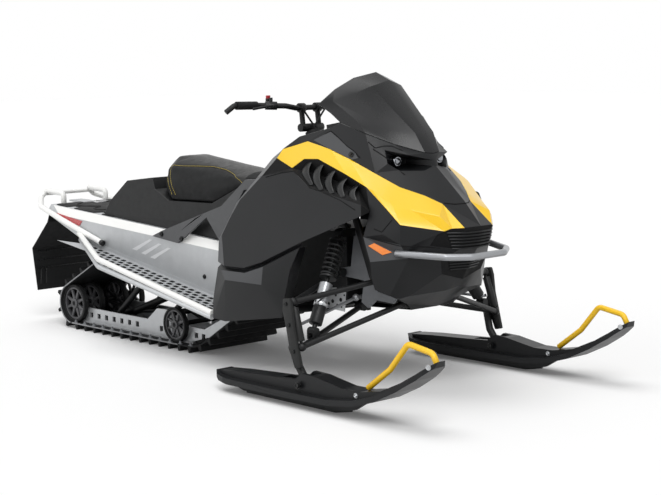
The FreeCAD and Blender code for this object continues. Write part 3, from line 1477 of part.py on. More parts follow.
def track():
    """The track as one closed belt with a lug at each pitch."""
    pieces = belt_path()
    length = path_length(pieces)
    pitch = length / track_links
    base, tip = lug_base_length / 2, lug_tip_length / 2
    outer = []
    for link in range(track_links):
        middle = link * pitch + pitch / 2
        top = belt_thickness + lug_height
        steps = [(-base, belt_thickness), (-tip, top), (tip, top),
                 (base, belt_thickness), (pitch / 2, belt_thickness)]
        for along, out in steps:
            point, outward = walk(pieces, (middle + along) % length)
            outer.append(point + outward * out)
    half = Vector(0, track_width / 2, 0)
    inner = Part.Face(inner_wire(pieces))
    inner.translate(half * -1)
    ring = flat_face([point - half for point in outer]).cut(inner)
    return ring.Faces[0].extrude(half * 2)


def inner_wire(pieces):
    """The belt's inner path as a wire of lines and arcs."""
    edges = []
    for piece in pieces:
        if piece[0] == "run":
            edges.append(Part.LineSegment(piece[1], piece[2]).toShape())
        else:
            _, centre, radius, angle, turn = piece
            turns = [angle + turn * step / 2 for step in range(3)]
            places = [centre + Vector(math.cos(at_turn), 0, math.sin(at_turn)) * radius for at_turn in turns]
            edges.append(Part.Arc(*places).toShape())
    return Part.Wire(edges)


def wheel_axles():
    """Centres and radii of the wheels that ride on shafts through the rails."""
    return [(rear_axle(), rear_wheel_radius), (middle_axle(), middle_wheel_radius)]


def track_wheels():
    """The wheels that carry the belt: outer and inner pairs at the rear, outer pairs ahead."""
    wheels = []
    for centre, radius in wheel_axles():
        wheel = wheel_profile(radius - seat_gap, wheel_width)
        offsets = [outer_wheel_offset]
        if radius == rear_wheel_radius:
            offsets.append(inner_wheel_offset)
        for offset in offsets:
            for side in (-1, 1):
                copy = wheel.copy()
                copy.translate(centre + Vector(0, side * offset, 0))
                wheels.append(copy)
    carrier = wheel_profile(carrier_wheel_radius - seat_gap, wheel_width)
    for side in (-1, 1):
        copy = carrier.copy()
        copy.translate(carrier_axle() + Vector(0, side * carrier_wheel_offset, 0))
        wheels.append(copy)
    return Part.makeCompound(wheels)


def rail_hull():
    """The outline of one rail from its rear end to its raised nose."""
    low = belt_inner() + seat_gap + slider_height
    high = low + rail_height
    foot = [(rail_tail_share * body_length, low), (rail_start_share * body_length, low)]
    front = [(rail_front_share * body_length, high), (rail_hump_end_share * body_length, high)]
    rear = [(rail_hump_start_share * body_length, high), (rail_tail_share * body_length, high)]
    return foot + outline_of(rail_nose_shares) + front + outline_of(rail_hump_shares) + rear


def slide_rails():
    """The two slide rails with sliders under them and square holes along them."""
    rail = side_plate(rail_hull(), rail_offset, rail_wall)
    low = belt_inner() + seat_gap
    top = low + slider_height + seat_gap
    slider = box(Vector(slider_tail_share * body_length, rail_offset - rail_wall, low),
                 Vector(slider_start_share * body_length, rail_offset + rail_wall, top))
    middle = low + slider_height + rail_height / 2
    for share in rail_hole_shares:
        x = share * body_length
        hole = box(Vector(x - rail_hole / 2, rail_offset - rail_wall, middle - rail_hole / 2),
                   Vector(x + rail_hole / 2, rail_offset + rail_wall, middle + rail_hole / 2))
        rail = rail.cut(hole)
    for centre, _ in wheel_axles():
        rail = rail.cut(disc(centre + Vector(0, rail_offset, 0), shaft_radius + pin_clearance, 4 * rail_wall))
    return both(fused([rail, slider]))


def skid_frame():
    """Shafts, arms and shocks that hang the rails in the tunnel."""
    reach = outer_wheel_offset + wheel_width / 2
    shafts = [rod(centre - Vector(0, reach, 0), centre + Vector(0, reach, 0), shaft_radius)
              for centre, _ in wheel_axles()]
    inside = tunnel_half_width - tunnel_wall - seat_gap
    front_high, rear_high = place("front_arm_high"), place("rear_arm_high")
    front_low, rear_low = place("front_arm_low"), place("rear_arm_low")
    between = rail_offset - rail_wall / 2 - seat_gap
    pieces = list(shafts)
    for point in (front_high, rear_high):
        pieces.append(rod(point - Vector(0, inside, 0), point + Vector(0, inside, 0), skid_tube_radius))
    for point in (front_low, rear_low):
        pieces.append(rod(point - Vector(0, between, 0), point + Vector(0, between, 0), skid_tube_radius))
    for side in (-1, 1):
        shift = Vector(0, side * skid_arm_offset, 0)
        pieces.append(rod(front_high + shift, front_low + shift, skid_tube_radius))
        pieces.append(rod(rear_high + shift, rear_low + shift, skid_tube_radius))
    carrier = carrier_axle()
    reach = carrier_wheel_offset + wheel_width / 2
    pieces.append(rod(carrier - Vector(0, reach, 0), carrier + Vector(0, reach, 0), shaft_radius))
    brace = Vector(0, carrier_brace_offset, 0)
    for side in (-1, 1):
        pieces.append(rod(carrier + brace * side, rear_high + brace * side, shaft_radius))
    pieces.append(rod(rear_low, front_high, skid_shock_radius))
    spine = [middle_axle(), front_low, rear_low, rear_axle()]
    for start, end in zip(spine, spine[1:]):
        pieces.append(rod(start, end, skid_spine_radius))
    return fused(pieces)


def drive_axle():
    """The shaft across the tunnel with its two drive sprockets."""
    centre = drive_centre()
    inside = tunnel_half_width - tunnel_wall - seat_gap
    pieces = [rod(centre - Vector(0, inside, 0), centre + Vector(0, inside, 0), drive_shaft_radius)]
    for side in (-1, 1):
        out = Vector(0, side * inner_wheel_offset, 0)
        pieces.append(disc(centre + out, drive_radius - seat_gap, wheel_width))
    return fused(pieces)


def ski_middle():
    """The left ski's middle line, half the stance from the middle plane."""
    return Vector(0, ski_stance / 2, 0)


def ski_tip_x():
    """Where the ski's tip ends."""
    return place("ski_tip").x


def ski_bolt():
    """Middle of the bolt that the left ski swings on."""
    return Vector(ski_tip_x() - bolt_along_share * ski_length, ski_stance / 2, bolt_up_share * ski_rise)


def ski_line(points):
    """Points of the ski's side view from shares of its length and rise."""
    tail = ski_tip_x() - ski_length
    return [(tail + x * ski_length, z * ski_rise) for x, z in points]


def ski_left():
    """A ski blade with its keel, spine and saddle; its slot takes the spindle's foot."""
    line = ski_line(ski_top_shares)
    lower = [(x, z - ski_blade) for x, z in line]
    lower[0] = (line[0][0] + ski_blade / 2, line[0][1] - ski_blade / 2)
    lower[-1] = (line[-1][0] - ski_blade / 3, line[-1][1] - ski_blade)
    blade = side_plate(line + lower[::-1], ski_stance / 2, ski_width)
    tail = ski_tip_x() - ski_length
    plan = [Vector(tail + x * ski_length, y * ski_width / 2, -overrun) for x, y in ski_plan_shares]
    plan += [Vector(point.x, -point.y, point.z) for point in plan[::-1]]
    plan = [point + ski_middle() for point in plan]
    blade = blade.common(prism(plan, Vector(0, 0, 2 * ski_rise)))
    base = [(x, z - ski_blade / 2) for x, z in line[1:9]]
    top = ski_line(spine_top_shares)
    spine = side_plate(top + base[::-1], ski_stance / 2, spine_width)
    keel = side_plate(ski_line(keel_shares), ski_stance / 2, keel_width)
    whole = fused([blade, spine, keel, ski_runner_left()])
    bolt = ski_bolt()
    slot_half = spindle_width / 2 + run_clearance
    floor = bolt.z - spindle_foot_radius - run_clearance
    slot = box(Vector(bolt.x - saddle_rear_share * spindle_foot_radius, bolt.y - slot_half, floor),
               Vector(bolt.x + saddle_front_share * spindle_foot_radius, bolt.y + slot_half, ski_rise))
    whole = whole.cut(slot)
    reach = spine_width / 2 + saddle_wall
    pin = rod(bolt - Vector(0, reach, 0), bolt + Vector(0, reach, 0), ski_bolt_radius)
    holes = [rod(*ends, loop_tube_radius + seat_gap) for ends in loop_feet()]
    return fused([whole, pin]).cut(Part.makeCompound(holes))


def ski_runner_left():
    """The steel bar under the keel."""
    points = [Vector(x, ski_stance / 2, z + runner_radius) for x, z in ski_line(runner_shares)]
    return bent_tube(points, runner_radius, 6 * runner_radius)


def loop_points():
    """The left ski handle's line from its rear foot to its front foot."""
    return [Vector(x, ski_stance / 2, z) for x, z in ski_line(loop_shares)]


def loop_feet():
    """The ends of the handle that go into the ski."""
    points = loop_points()
    return (points[0], points[1]), (points[-1], points[-2])


def ski_loop_left():
    """The bent handle over the ski's front."""
    return bent_tube(loop_points(), loop_tube_radius, loop_bend_share * loop_tube_radius)


def build():
    """All pieces by node name."""
    nodes = {
        "tunnel": tunnel_with_hitch(),
        "running_boards": Part.makeCompound([running_board(1), running_board(-1)]),
        "rear_bumper": rear_bumper(),
        "snow_flap": snow_flap(),
        "tail_reflectors": tail_reflectors(),
        "seat_base": seat_base(),
        "seat": seat(),
        "upper_frame": upper_frame(),
        "front_frame": front_frame(),
        "engine": engine(),
        "track": track(),
        "track_wheels": track_wheels(),
        "slide_rails": slide_rails(),
        "skid_frame": skid_frame(),
        "drive_axle": drive_axle(),
        "hood": body_net.panel("hood", panel_wall),
        "accent_panels": body_net.panel("accent", panel_wall),
        "console": console(),
        "side_panels": body_net.panel("side", panel_wall),
        "side_vents": body_net.panel("vents", panel_wall),
        "lower_panels": body_net.panel("lower", panel_wall),
        "nose_cowl": body_net.panel("cowl", panel_wall).cut(front_bumper(front_bumper_radius + seat_gap)),
        "front_grilles": body_net.panel("grilles", panel_wall),
        "belly_pan": body_net.panel("belly", panel_wall),
        "windshield": screen_net.panel("screen", screen_wall).cut(body_net.panel("hood", panel_wall)),
        "ski_left": ski_left(),
        "ski_right": mirrored(ski_left()),
        "ski_loop_left": ski_loop_left(),
        "ski_loop_right": mirrored(ski_loop_left()),
        "suspension_arms": Part.makeCompound([both(lower_arm()), both(upper_arm())]),
        "shocks": both(shock()),
        "shock_springs": both(spring()),
        "tie_rods": tie_rods(),
        "handlebar": handlebar(),
        "handlebar_grips": handlebar_grips(),
        "control_blocks": control_blocks(),
        "steering_post": steering_post(),
        "front_bumper": front_bumper(),
        "headlamps": headlamps(),
        "side_reflectors": side_reflectors(),
        "gauge": gauge(),
        "post_boot": post_boot(),
        "control_cables": control_cables(),
        "spindle_left": spindle_left(),
        "spindle_right": mirrored(spindle_left()),
    }
    return nodes


def export(nodes):
    """Writes each node to its own file."""
    os.makedirs("parts", exist_ok=True)
    for name, shape in nodes.items():
        shape.exportStep("parts/" + name + ".step")
        print(name, len(shape.Solids), round(shape.Volume), shape.isValid())


export(build())
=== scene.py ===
import json
import logging
import math
from contextlib import contextmanager
from dataclasses import dataclass
from enum import Enum
from typing import Dict, Iterator, List, Optional, Sequence, Tuple

import bmesh
import bpy
from mathutils import Matrix, Vector
from mathutils.bvhtree import BVHTree
from mathutils.kdtree import KDTree

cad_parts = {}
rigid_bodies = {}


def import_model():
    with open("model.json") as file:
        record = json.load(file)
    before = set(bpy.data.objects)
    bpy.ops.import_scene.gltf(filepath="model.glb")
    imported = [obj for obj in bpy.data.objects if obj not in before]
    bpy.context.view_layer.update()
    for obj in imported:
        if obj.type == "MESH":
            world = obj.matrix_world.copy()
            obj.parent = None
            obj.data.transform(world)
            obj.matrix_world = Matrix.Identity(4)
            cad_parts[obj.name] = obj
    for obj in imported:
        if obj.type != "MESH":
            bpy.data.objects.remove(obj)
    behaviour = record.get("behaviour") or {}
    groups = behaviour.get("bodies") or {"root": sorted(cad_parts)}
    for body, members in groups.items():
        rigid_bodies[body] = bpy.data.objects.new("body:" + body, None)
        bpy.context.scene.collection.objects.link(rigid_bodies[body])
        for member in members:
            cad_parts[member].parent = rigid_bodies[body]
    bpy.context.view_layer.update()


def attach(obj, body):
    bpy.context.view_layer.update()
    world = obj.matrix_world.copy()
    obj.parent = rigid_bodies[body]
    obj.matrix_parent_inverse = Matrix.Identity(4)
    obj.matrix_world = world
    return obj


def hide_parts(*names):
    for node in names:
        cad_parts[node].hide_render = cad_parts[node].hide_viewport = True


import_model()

log = logging.getLogger("snowmobile")

Spots = Sequence[Tuple[float, float]]
Place = Tuple[float, float, float]

MM = 0.001
IMAGE_WIDTH = 661
SENSOR_WIDTH = 36
ROOT = "chassis"
EYE = Vector((5.136646, -4.473835, 1.326066))
UP = Vector((0, 0, 1))
FORWARD = Vector((1, 0, 0))
TURN = 2 * math.pi
MERGE_GAP = 2e-5
PATTERN_DETAIL = 4.0
COAT_ROUGHNESS = 0.08
LEAST_ROUGHNESS = 0.03
SKI_MIDDLE = 538.5
STAND_OFF = 150.0


def mm(x: float, y: float, z: float) -> Vector:
    """Returns a place or size that is given in millimetres, in metres."""
    return Vector((x, y, z)) * MM


def colour(code: str) -> Tuple[float, float, float, float]:
    """Turns an sRGB hex code into a linear colour.

    Args:
        code: six hex digits.

    Returns:
        Linear red, green, blue and an alpha of 1.
    """
    parts = [int(code[i:i + 2], 16) / 255 for i in (0, 2, 4)]
    linear = [p / 12.92 if p <= 0.04045 else ((p + 0.055) / 1.055) ** 2.4 for p in parts]
    return (*linear, 1.0)


def add_node(tree: bpy.types.NodeTree, kind: str, inputs: Optional[dict] = None,
             **settings) -> bpy.types.Node:
    """Adds a node with its settings and links.

    Args:
        tree: the material's node tree.
        kind: Blender's name of the node type.
        inputs: socket name or number to a value, or to another node's output that feeds it.
        settings: the node's own properties.

    Returns:
        The new node.
    """
    node = tree.nodes.new(kind)
    for name, value in settings.items():
        setattr(node, name, value)
    for key, value in (inputs or {}).items():
        if isinstance(value, bpy.types.NodeSocket):
            tree.links.new(value, node.inputs[key])
        else:
            node.inputs[key].default_value = value
    return node


class Slot(Enum):
    """The record's material slots."""

    BLACK_BODY = "black_body"
    YELLOW_BODY = "yellow_body"
    SMOKE_SCREEN = "smoke_screen"
    SEAT_COVER = "seat_cover"
    BLACK_FRAME = "black_frame"
    CAST_GREY = "cast_grey"
    STEEL = "steel"
    TUNNEL_METAL = "tunnel_metal"
    WHITE_TUBE = "white_tube"
    SILVER_TUBE = "silver_tube"
    RUBBER = "rubber"
    WHEEL_PLASTIC = "wheel_plastic"
    RED_LENS = "red_lens"


class Fill(Enum):
    """What a flat outline is filled with."""

    FACE = "NGON"
    NOTHING = "NOTHING"


class Side(Enum):
    """The two halves of the machine, by the sign of Y."""

    LEFT = 1
    RIGHT = -1

    @property
    def word(self) -> str:
        """The side as it stands in the names of pieces and bodies."""
        return self.name.lower()

    @property
    def out(self) -> Vector:
        """The way out of the machine on this side."""
        return Vector((0, self.value, 0))

    def at(self, x: float, out: float, z: float) -> Vector:
        """Returns a place on this side, given in millimetres with Y counted outwards."""
        return mm(x, self.value * out, z)


# ---- Kinds of finish


@dataclass(frozen=True)
class Finish:
    """A finish whose colour and roughness vary over the surface, with sizes in millimetres.

    Handling leaves soft lighter and darker patches and duller marks on every real surface, so none
    is one flat colour. A grain finer than about a pixel is drawn as coarse as it needs to show.
    """

    name: str
    base: str
    roughness: float = 0.5
    metallic: float = 0.0
    ior: float = 1.5
    coat: float = 0.0
    sheen: float = 0.0
    patch_mm: float = 60.0
    patch_amount: float = 0.12
    wear: float = 0.06
    grain_mm: float = 1.0
    grain_depth_mm: float = 0.05

    def material(self) -> bpy.types.Material:
        """Makes the material, once for the whole scene.

        Returns:
            The material.
        """
        known = bpy.data.materials.get(self.name)
        if known:
            return known
        material = bpy.data.materials.new(self.name)
        material.use_nodes = True
        tree = material.node_tree
        tree.nodes.clear()
        place = add_node(tree, "ShaderNodeTexCoord").outputs["Object"]
        shader = add_node(tree, "ShaderNodeBsdfPrincipled", {
            "Base Color": self.tint(tree, place), "Roughness": self.dullness(tree, place),
            "Metallic": self.metallic, "Coat Weight": self.coat, "Coat Roughness": COAT_ROUGHNESS,
            "Sheen Weight": self.sheen, "Normal": self.relief(tree, place)})
        if self.metallic == 0:
            shader.inputs["IOR"].default_value = self.ior
        add_node(tree, "ShaderNodeOutputMaterial", {"Surface": shader.outputs[0]})
        return material

    def tint(self, tree: bpy.types.NodeTree, place: bpy.types.NodeSocket) -> bpy.types.NodeSocket:
        """Gives the base colour, a little lighter and darker in patches.

        Args:
            tree: the material's node tree.
            place: the socket that gives places on the piece.

        Returns:
            The colour's socket.
        """
        patches = add_node(tree, "ShaderNodeTexNoise", {
            "Vector": place, "Scale": 1 / (self.patch_mm * MM), "Detail": PATTERN_DETAIL, "Roughness": 0.6})
        base = colour(self.base)[:3]
        low = (*(c * (1 - self.patch_amount) for c in base), 1.0)
        high = (*(min(1.0, c * (1 + self.patch_amount) + 0.004) for c in base), 1.0)
        mix = add_node(tree, "ShaderNodeMix", {0: patches.outputs["Fac"], 6: low, 7: high}, data_type="RGBA")
        return mix.outputs[2]

    def dullness(self, tree: bpy.types.NodeTree, place: bpy.types.NodeSocket) -> bpy.types.NodeSocket:
        """Gives the roughness, with faint handling marks smaller than the patches.

        Args:
            tree: the material's node tree.
            place: the socket that gives places on the piece.

        Returns:
            The roughness's socket.
        """
        marks = add_node(tree, "ShaderNodeTexNoise", {
            "Vector": place, "Scale": 1 / (self.patch_mm * 0.4 * MM), "Detail": PATTERN_DETAIL})
        worn = add_node(tree, "ShaderNodeMapRange", {
            "Value": marks.outputs["Fac"], "From Min": 0.3, "From Max": 0.7,
            "To Min": max(LEAST_ROUGHNESS, self.roughness - self.wear),
            "To Max": min(1.0, self.roughness + self.wear)})
        return worn.outputs["Result"]

    def raised(self, tree: bpy.types.NodeTree, height: bpy.types.NodeSocket,
               strength: float) -> bpy.types.NodeSocket:
        """Returns the surface normal of a pattern.

        Args:
            tree: the material's node tree.
            height: the pattern, from 0 to 1.
            strength: how much of the finish's grain depth it shows.

        Returns:
            The normal's socket.
        """
        bump = add_node(tree, "ShaderNodeBump", {
            "Height": height, "Distance": self.grain_depth_mm * MM, "Strength": strength})
        return bump.outputs["Normal"]

    def relief(self, tree: bpy.types.NodeTree, place: bpy.types.NodeSocket) -> bpy.types.NodeSocket:
        """Gives the surface normal with the finish's fine grain.

        Args:
            tree: the material's node tree.
            place: the socket that gives places on the piece.

        Returns:
            The normal's socket.
        """
        grain = add_node(tree, "ShaderNodeTexNoise", {
            "Vector": place, "Scale": 1 / (self.grain_mm * MM), "Detail": 3.0})
        return self.raised(tree, grain.outputs["Fac"], 0.6)


@dataclass(frozen=True)
class BrushedSheet(Finish):
    """Sheet metal drawn along the machine, so its fine lines run fore and aft."""

    line_mm: float = 1.6
    stretch: float = 0.025

    def relief(self, tree: bpy.types.NodeTree, place: bpy.types.NodeSocket) -> bpy.types.NodeSocket:
        """Gives the normal with lines stretched along X.

        Args:
            tree: the material's node tree.
            place: the socket that gives places on the piece.

        Returns:
            The normal's socket.
        """
        drawn = add_node(tree, "ShaderNodeMapping", {"Vector": place, "Scale": (self.stretch, 1.0, 1.0)})
        lines = add_node(tree, "ShaderNodeTexNoise", {
            "Vector": drawn.outputs[0], "Scale": 1 / (self.line_mm * MM), "Detail": 2.0})
        return self.raised(tree, lines.outputs["Fac"], 0.35)


@dataclass(frozen=True)
class GrainedVinyl(Finish):
    """Moulded vinyl whose leather grain is a net of shallow creases."""

    crease_mm: float = 2.2

    def relief(self, tree: bpy.types.NodeTree, place: bpy.types.NodeSocket) -> bpy.types.NodeSocket:
        """Gives the normal with creases between rounded cells.

        Args:
            tree: the material's node tree.
            place: the socket that gives places on the piece.

        Returns:
            The normal's socket.
        """
        cells = add_node(tree, "ShaderNodeTexVoronoi", {"Vector": place, "Scale": 1 / (self.crease_mm * MM)},
                         feature="DISTANCE_TO_EDGE")
        edge = add_node(tree, "ShaderNodeMapRange", {"Value": cells.outputs["Distance"], "From Max": 0.25})
        return self.raised(tree, edge.outputs["Result"], 0.5)


@dataclass(frozen=True)
class PrismLens(Finish):
    """Clear coloured plastic backed by small cube corners, as on road reflectors."""

    prism_mm: float = 5.0

    def relief(self, tree: bpy.types.NodeTree, place: bpy.types.NodeSocket) -> bpy.types.NodeSocket:
        """Gives the normal of a field of small pyramids.

        Args:
            tree: the material's node tree.
            place: the socket that gives places on the piece.

        Returns:
            The normal's socket.
        """
        cells = add_node(tree, "ShaderNodeTexVoronoi", {
            "Vector": place, "Scale": 1 / (self.prism_mm * MM), "Randomness": 0.0}, distance="MANHATTAN")
        return self.raised(tree, cells.outputs["Distance"], 0.9)


# ---- Finishes of the machine

# Painted steel tube: even and satin, hardly any grain.
BLACK_PAINT = Finish("satin_black_paint", "0e0f10", roughness=0.45, ior=1.35, grain_mm=1.5,
                     grain_depth_mm=0.01)
# Injection-moulded panels: smooth and even, so broad facets show by their light alone.
BODY_BLACK = Finish("moulded_black_bodywork", "101113", roughness=0.38, ior=1.33, patch_amount=0.02,
                    patch_mm=220, wear=0.02, grain_mm=0.8, grain_depth_mm=0.0)
BODY_YELLOW = Finish("moulded_yellow_bodywork", "f2c412", roughness=0.3, coat=0.2, patch_amount=0.02,
                     patch_mm=220, wear=0.02, grain_depth_mm=0.0)
# The access covers are textured mouldings beside the gloss ones, greyer since their grain scatters the light.
# The same grey is painted on chosen panel faces as a painted highlight, where they catch the light.
GREY_COVER_AND_PAINTED_LIGHT = Finish("grey_black_cover", "434446", roughness=0.5, ior=1.4, patch_amount=0.03, patch_mm=220,
                    wear=0.02, grain_depth_mm=0.0)
# Tinted screen: as dark as the panels but glossier.
SMOKE = Finish("smoked_screen", "0d0e10", roughness=0.28, ior=1.35, patch_amount=0.02, patch_mm=220,
               wear=0.02, grain_depth_mm=0.0)
# Polished plastic of fins, latches and caps: a sharper light on each crown.
GLOSS_BLACK = Finish("gloss_black_plastic", "0e0f10", roughness=0.3, ior=1.4, patch_amount=0.03,
                     grain_depth_mm=0.0)
# Near-black for the shut lines, which are dark joints, and painted shade for the backs of vents and grilles,
# the board's slots, the plate's holes and the skis' grooves: nearly no light comes back.
JOINT_AND_SHADE_BLACK = Finish("dark_vent_plastic", "050506", roughness=0.8, ior=1.3, patch_amount=0.08)
# Rolled aluminium, lightly oxidised: half metal to the eye, with lines along the machine.
SILVER_SHEET = BrushedSheet("brushed_aluminium_sheet", "b9bbbd", roughness=0.42, metallic=0.55)
# Sand castings: dull, with a coarse skin that is drawn at 1.2 mm to show.
CAST_GREY = Finish("cast_aluminium", "737578", roughness=0.55, metallic=0.6, grain_mm=1.2,
                   grain_depth_mm=0.12)
DARK_CAST = Finish("painted_dark_casting", "181919", roughness=0.5, ior=1.35, grain_mm=1.2,
                   grain_depth_mm=0.15)
ENGINE_METAL = Finish("engine_casting", "1b1c1d", roughness=0.6, metallic=0.6, grain_mm=1.4,
                      grain_depth_mm=0.2)
# Zinc plate: bright, with a faint grain.
STEEL = Finish("zinc_plated_steel", "b4b6b8", roughness=0.3, metallic=1.0, grain_depth_mm=0.02)
# Powder coats: a thick smooth skin with a soft shine on top.
WHITE_TUBE = Finish("white_powder_coat", "ececea", roughness=0.35, coat=0.3, patch_amount=0.03)
SILVER_TUBE = Finish("silver_powder_coat", "96989b", roughness=0.35, metallic=0.6, coat=0.2,
                     patch_amount=0.04)
FRAME_GREY = Finish("grey_black_frame_paint", "454648", roughness=0.45, patch_amount=0.04,
                    grain_depth_mm=0.01)
# Flexible plastic of the ski handles: soft shine, even colour.
YELLOW_TUBE = Finish("yellow_plastic_loop", "f3c21c", roughness=0.4, patch_amount=0.05)
# Rubber: dull and faintly pebbled. Its belt edge is worn pale by the snow and the rails.
RUBBER = Finish("black_rubber", "0e0f10", roughness=0.7, ior=1.33, grain_mm=2.0, grain_depth_mm=0.08)
BELT_EDGE = Finish("worn_belt_edge", "8a8b8d", roughness=0.7, patch_amount=0.2, grain_depth_mm=0.02)
WHEEL_BLACK = Finish("wheel_plastic", "151617", roughness=0.5, ior=1.4, grain_mm=1.0, grain_depth_mm=0.04)
# Seat vinyls: the sides are matt, the top is glossier where it is sat on. Creases drawn at 2.2 mm.
SEAT_SIDE = GrainedVinyl("seat_side_vinyl", "0b0c0d", roughness=0.6, ior=1.3, grain_depth_mm=0.12)
SEAT_TOP = GrainedVinyl("seat_top_vinyl", "161615", roughness=0.42, ior=1.4, grain_depth_mm=0.10)
# Polyester thread: fuzzy, hence the sheen, and uneven in colour.
THREAD = Finish("yellow_thread", "b8a23a", roughness=0.8, sheen=0.4, patch_amount=0.2, grain_mm=0.8,
                grain_depth_mm=0.2)
# Acrylic lenses: a clear hard front over sparkling prisms.
RED_LENS = PrismLens("red_reflector", "b3121a", roughness=0.15, coat=1.0, grain_depth_mm=0.5)
AMBER_LENS = PrismLens("amber_reflector", "f08010", roughness=0.15, coat=1.0, grain_depth_mm=0.5)
# Lamp bowls: metal laid on in a vacuum, close to a mirror.
CHROME = Finish("vacuum_chrome", "8a8c90", roughness=0.08, metallic=1.0, patch_amount=0.02,
                grain_depth_mm=0.004)
# Printed film and a moulded button: thin, flat and even.
LIGHT_PRINT = Finish("light_grey_print", "d4d5d7", roughness=0.5, patch_amount=0.03, grain_depth_mm=0.005)
RED_PLASTIC = Finish("red_button_plastic", "a51420", roughness=0.35, patch_amount=0.05, grain_depth_mm=0.005)

# Each CAD node's finish and the rounding of its edges in millimetres.
NODE_FINISHES: Dict[str, Tuple[Finish, float]] = {
    "tunnel": (SILVER_SHEET, 1.0), "running_boards": (SILVER_SHEET, 0.8), "rear_bumper": (WHITE_TUBE, 0.5),
    "snow_flap": (RUBBER, 1.2), "tail_reflectors": (RED_LENS, 0.8), "seat_base": (BLACK_PAINT, 4.0),
    "seat": (SEAT_SIDE, 8.0), "upper_frame": (FRAME_GREY, 1.0), "front_frame": (CAST_GREY, 1.5),
    "engine": (ENGINE_METAL, 3.0), "track": (RUBBER, 0.8), "track_wheels": (WHEEL_BLACK, 1.0),
    "slide_rails": (SILVER_SHEET, 1.0), "skid_frame": (BLACK_PAINT, 1.0), "drive_axle": (STEEL, 1.0),
    "hood": (BODY_BLACK, 2.0), "accent_panels": (BODY_YELLOW, 2.0), "console": (BODY_BLACK, 3.0),
    "side_panels": (BODY_BLACK, 2.0), "side_vents": (BODY_BLACK, 1.0), "lower_panels": (BODY_BLACK, 2.0),
    "nose_cowl": (BODY_BLACK, 2.0), "front_grilles": (BODY_BLACK, 0.8), "belly_pan": (BODY_BLACK, 2.0),
    "windshield": (SMOKE, 1.2), "suspension_arms": (BLACK_PAINT, 0.8), "shocks": (SILVER_TUBE, 0.8),
    "shock_springs": (BLACK_PAINT, 0.0), "front_bumper": (SILVER_TUBE, 0.5), "headlamps": (CHROME, 1.0),
    "side_reflectors": (AMBER_LENS, 0.8), "gauge": (BODY_BLACK, 1.5), "steering_post": (BLACK_PAINT, 1.0),
    "handlebar": (BLACK_PAINT, 0.0), "handlebar_grips": (RUBBER, 1.0), "control_blocks": (BODY_BLACK, 1.2),
    "post_boot": (RUBBER, 1.0), "control_cables": (RUBBER, 0.0), "tie_rods": (SILVER_TUBE, 0.8),
    "spindle_left": (DARK_CAST, 1.5), "spindle_right": (DARK_CAST, 1.5), "ski_left": (BODY_BLACK, 1.5),
    "ski_right": (BODY_BLACK, 1.5), "ski_loop_left": (YELLOW_TUBE, 1.0), "ski_loop_right": (YELLOW_TUBE, 1.0),
}


def rounding_on(piece: bpy.types.Object, width: float, angle: float, segments: int = 2) -> bpy.types.Modifier:
    """Puts a modifier on a piece that rounds its sharp edges.

    Args:
        piece: the piece.
        width: the rounding's width, in metres.
        angle: the least angle of an edge that gets it, in degrees.
        segments: how many strips make up the rounding.

    Returns:
        The modifier.
    """
    bevel = piece.modifiers.new("rounding", "BEVEL")
    bevel.width = width
    bevel.segments = segments
    bevel.limit_method = "ANGLE"
    bevel.angle_limit = math.radians(angle)
    return bevel


def dress(node: str, finish: Finish, rounding_mm: float) -> None:
    """Gives a CAD node its finish and, if asked, rounded edges.

    Args:
        node: the CAD node's name.
        finish: what it is made of.
        rounding_mm: the radius of its edges, or 0 to leave them.
    """
    part = bpy.data.objects[node]
    part.data.materials.clear()
    part.data.materials.append(finish.material())
    part.modifiers.new("weld", "WELD").merge_threshold = MERGE_GAP
    if rounding_mm:
        rounding_on(part, rounding_mm * MM, 28).harden_normals = True
    log.info("%s finished as %s", node, finish.name)


# ---- Hand tools


def deselect() -> None:
    """Leaves edit mode and lets go of every object."""
    if bpy.context.object and bpy.context.object.mode != "OBJECT":
        bpy.ops.object.mode_set(mode="OBJECT")
    bpy.ops.object.select_all(action="DESELECT")


def take(piece: bpy.types.Object, *more: bpy.types.Object) -> None:
    """Makes one piece the active one, with others picked beside it.

    Args:
        piece: the active one.
        more: the others.
    """
    deselect()
    for each in (*more, piece):
        each.select_set(True)
    bpy.context.view_layer.objects.active = piece


def named(piece: bpy.types.Object, name: str) -> bpy.types.Object:
    """Gives a piece and its mesh one name, and returns it."""
    piece.name = piece.data.name = name
    return piece


@contextmanager
def editing(piece: bpy.types.Object) -> Iterator[None]:
    """Opens a piece in edit mode, all of it selected, and leaves edit mode afterwards.

    Args:
        piece: the piece worked on.

    Yields:
        Nothing.
    """
    take(piece)
    bpy.ops.object.mode_set(mode="EDIT")
    bpy.ops.mesh.select_all(action="SELECT")
    yield
    bpy.ops.object.mode_set(mode="OBJECT")


def apply(piece: bpy.types.Object, modifier: bpy.types.Modifier) -> None:
    """Works a modifier into a piece's mesh."""
    take(piece)
    bpy.ops.object.modifier_apply(modifier=modifier.name)


def face_out(piece: bpy.types.Object) -> None:
    """Turns all faces of a closed piece outwards."""
    with editing(piece):
        bpy.ops.mesh.normals_make_consistent(inside=False)


def smooth_below(piece: bpy.types.Object, angle: float) -> None:
    """Shades a piece smooth across edges that bend by less than an angle in degrees."""
    take(piece)
    bpy.ops.object.shade_smooth_by_angle(angle=math.radians(angle))


def joined(name: str, pieces: Sequence[bpy.types.Object]) -> bpy.types.Object:
    """Joins pieces to one.

    Args:
        name: the joined piece's name.
        pieces: what is joined.

    Returns:
        The joined piece.
    """
    take(*pieces)
    if len(pieces) > 1:
        bpy.ops.object.join()
    return named(bpy.context.view_layer.objects.active, name)


def copied(piece: bpy.types.Object) -> bpy.types.Object:
    """Copies a piece, mesh and all.

    Args:
        piece: the piece copied.

    Returns:
        The copy, with a mesh of its own.
    """
    copy = piece.copy()
    copy.data = piece.data.copy()
    bpy.context.collection.objects.link(copy)
    return copy


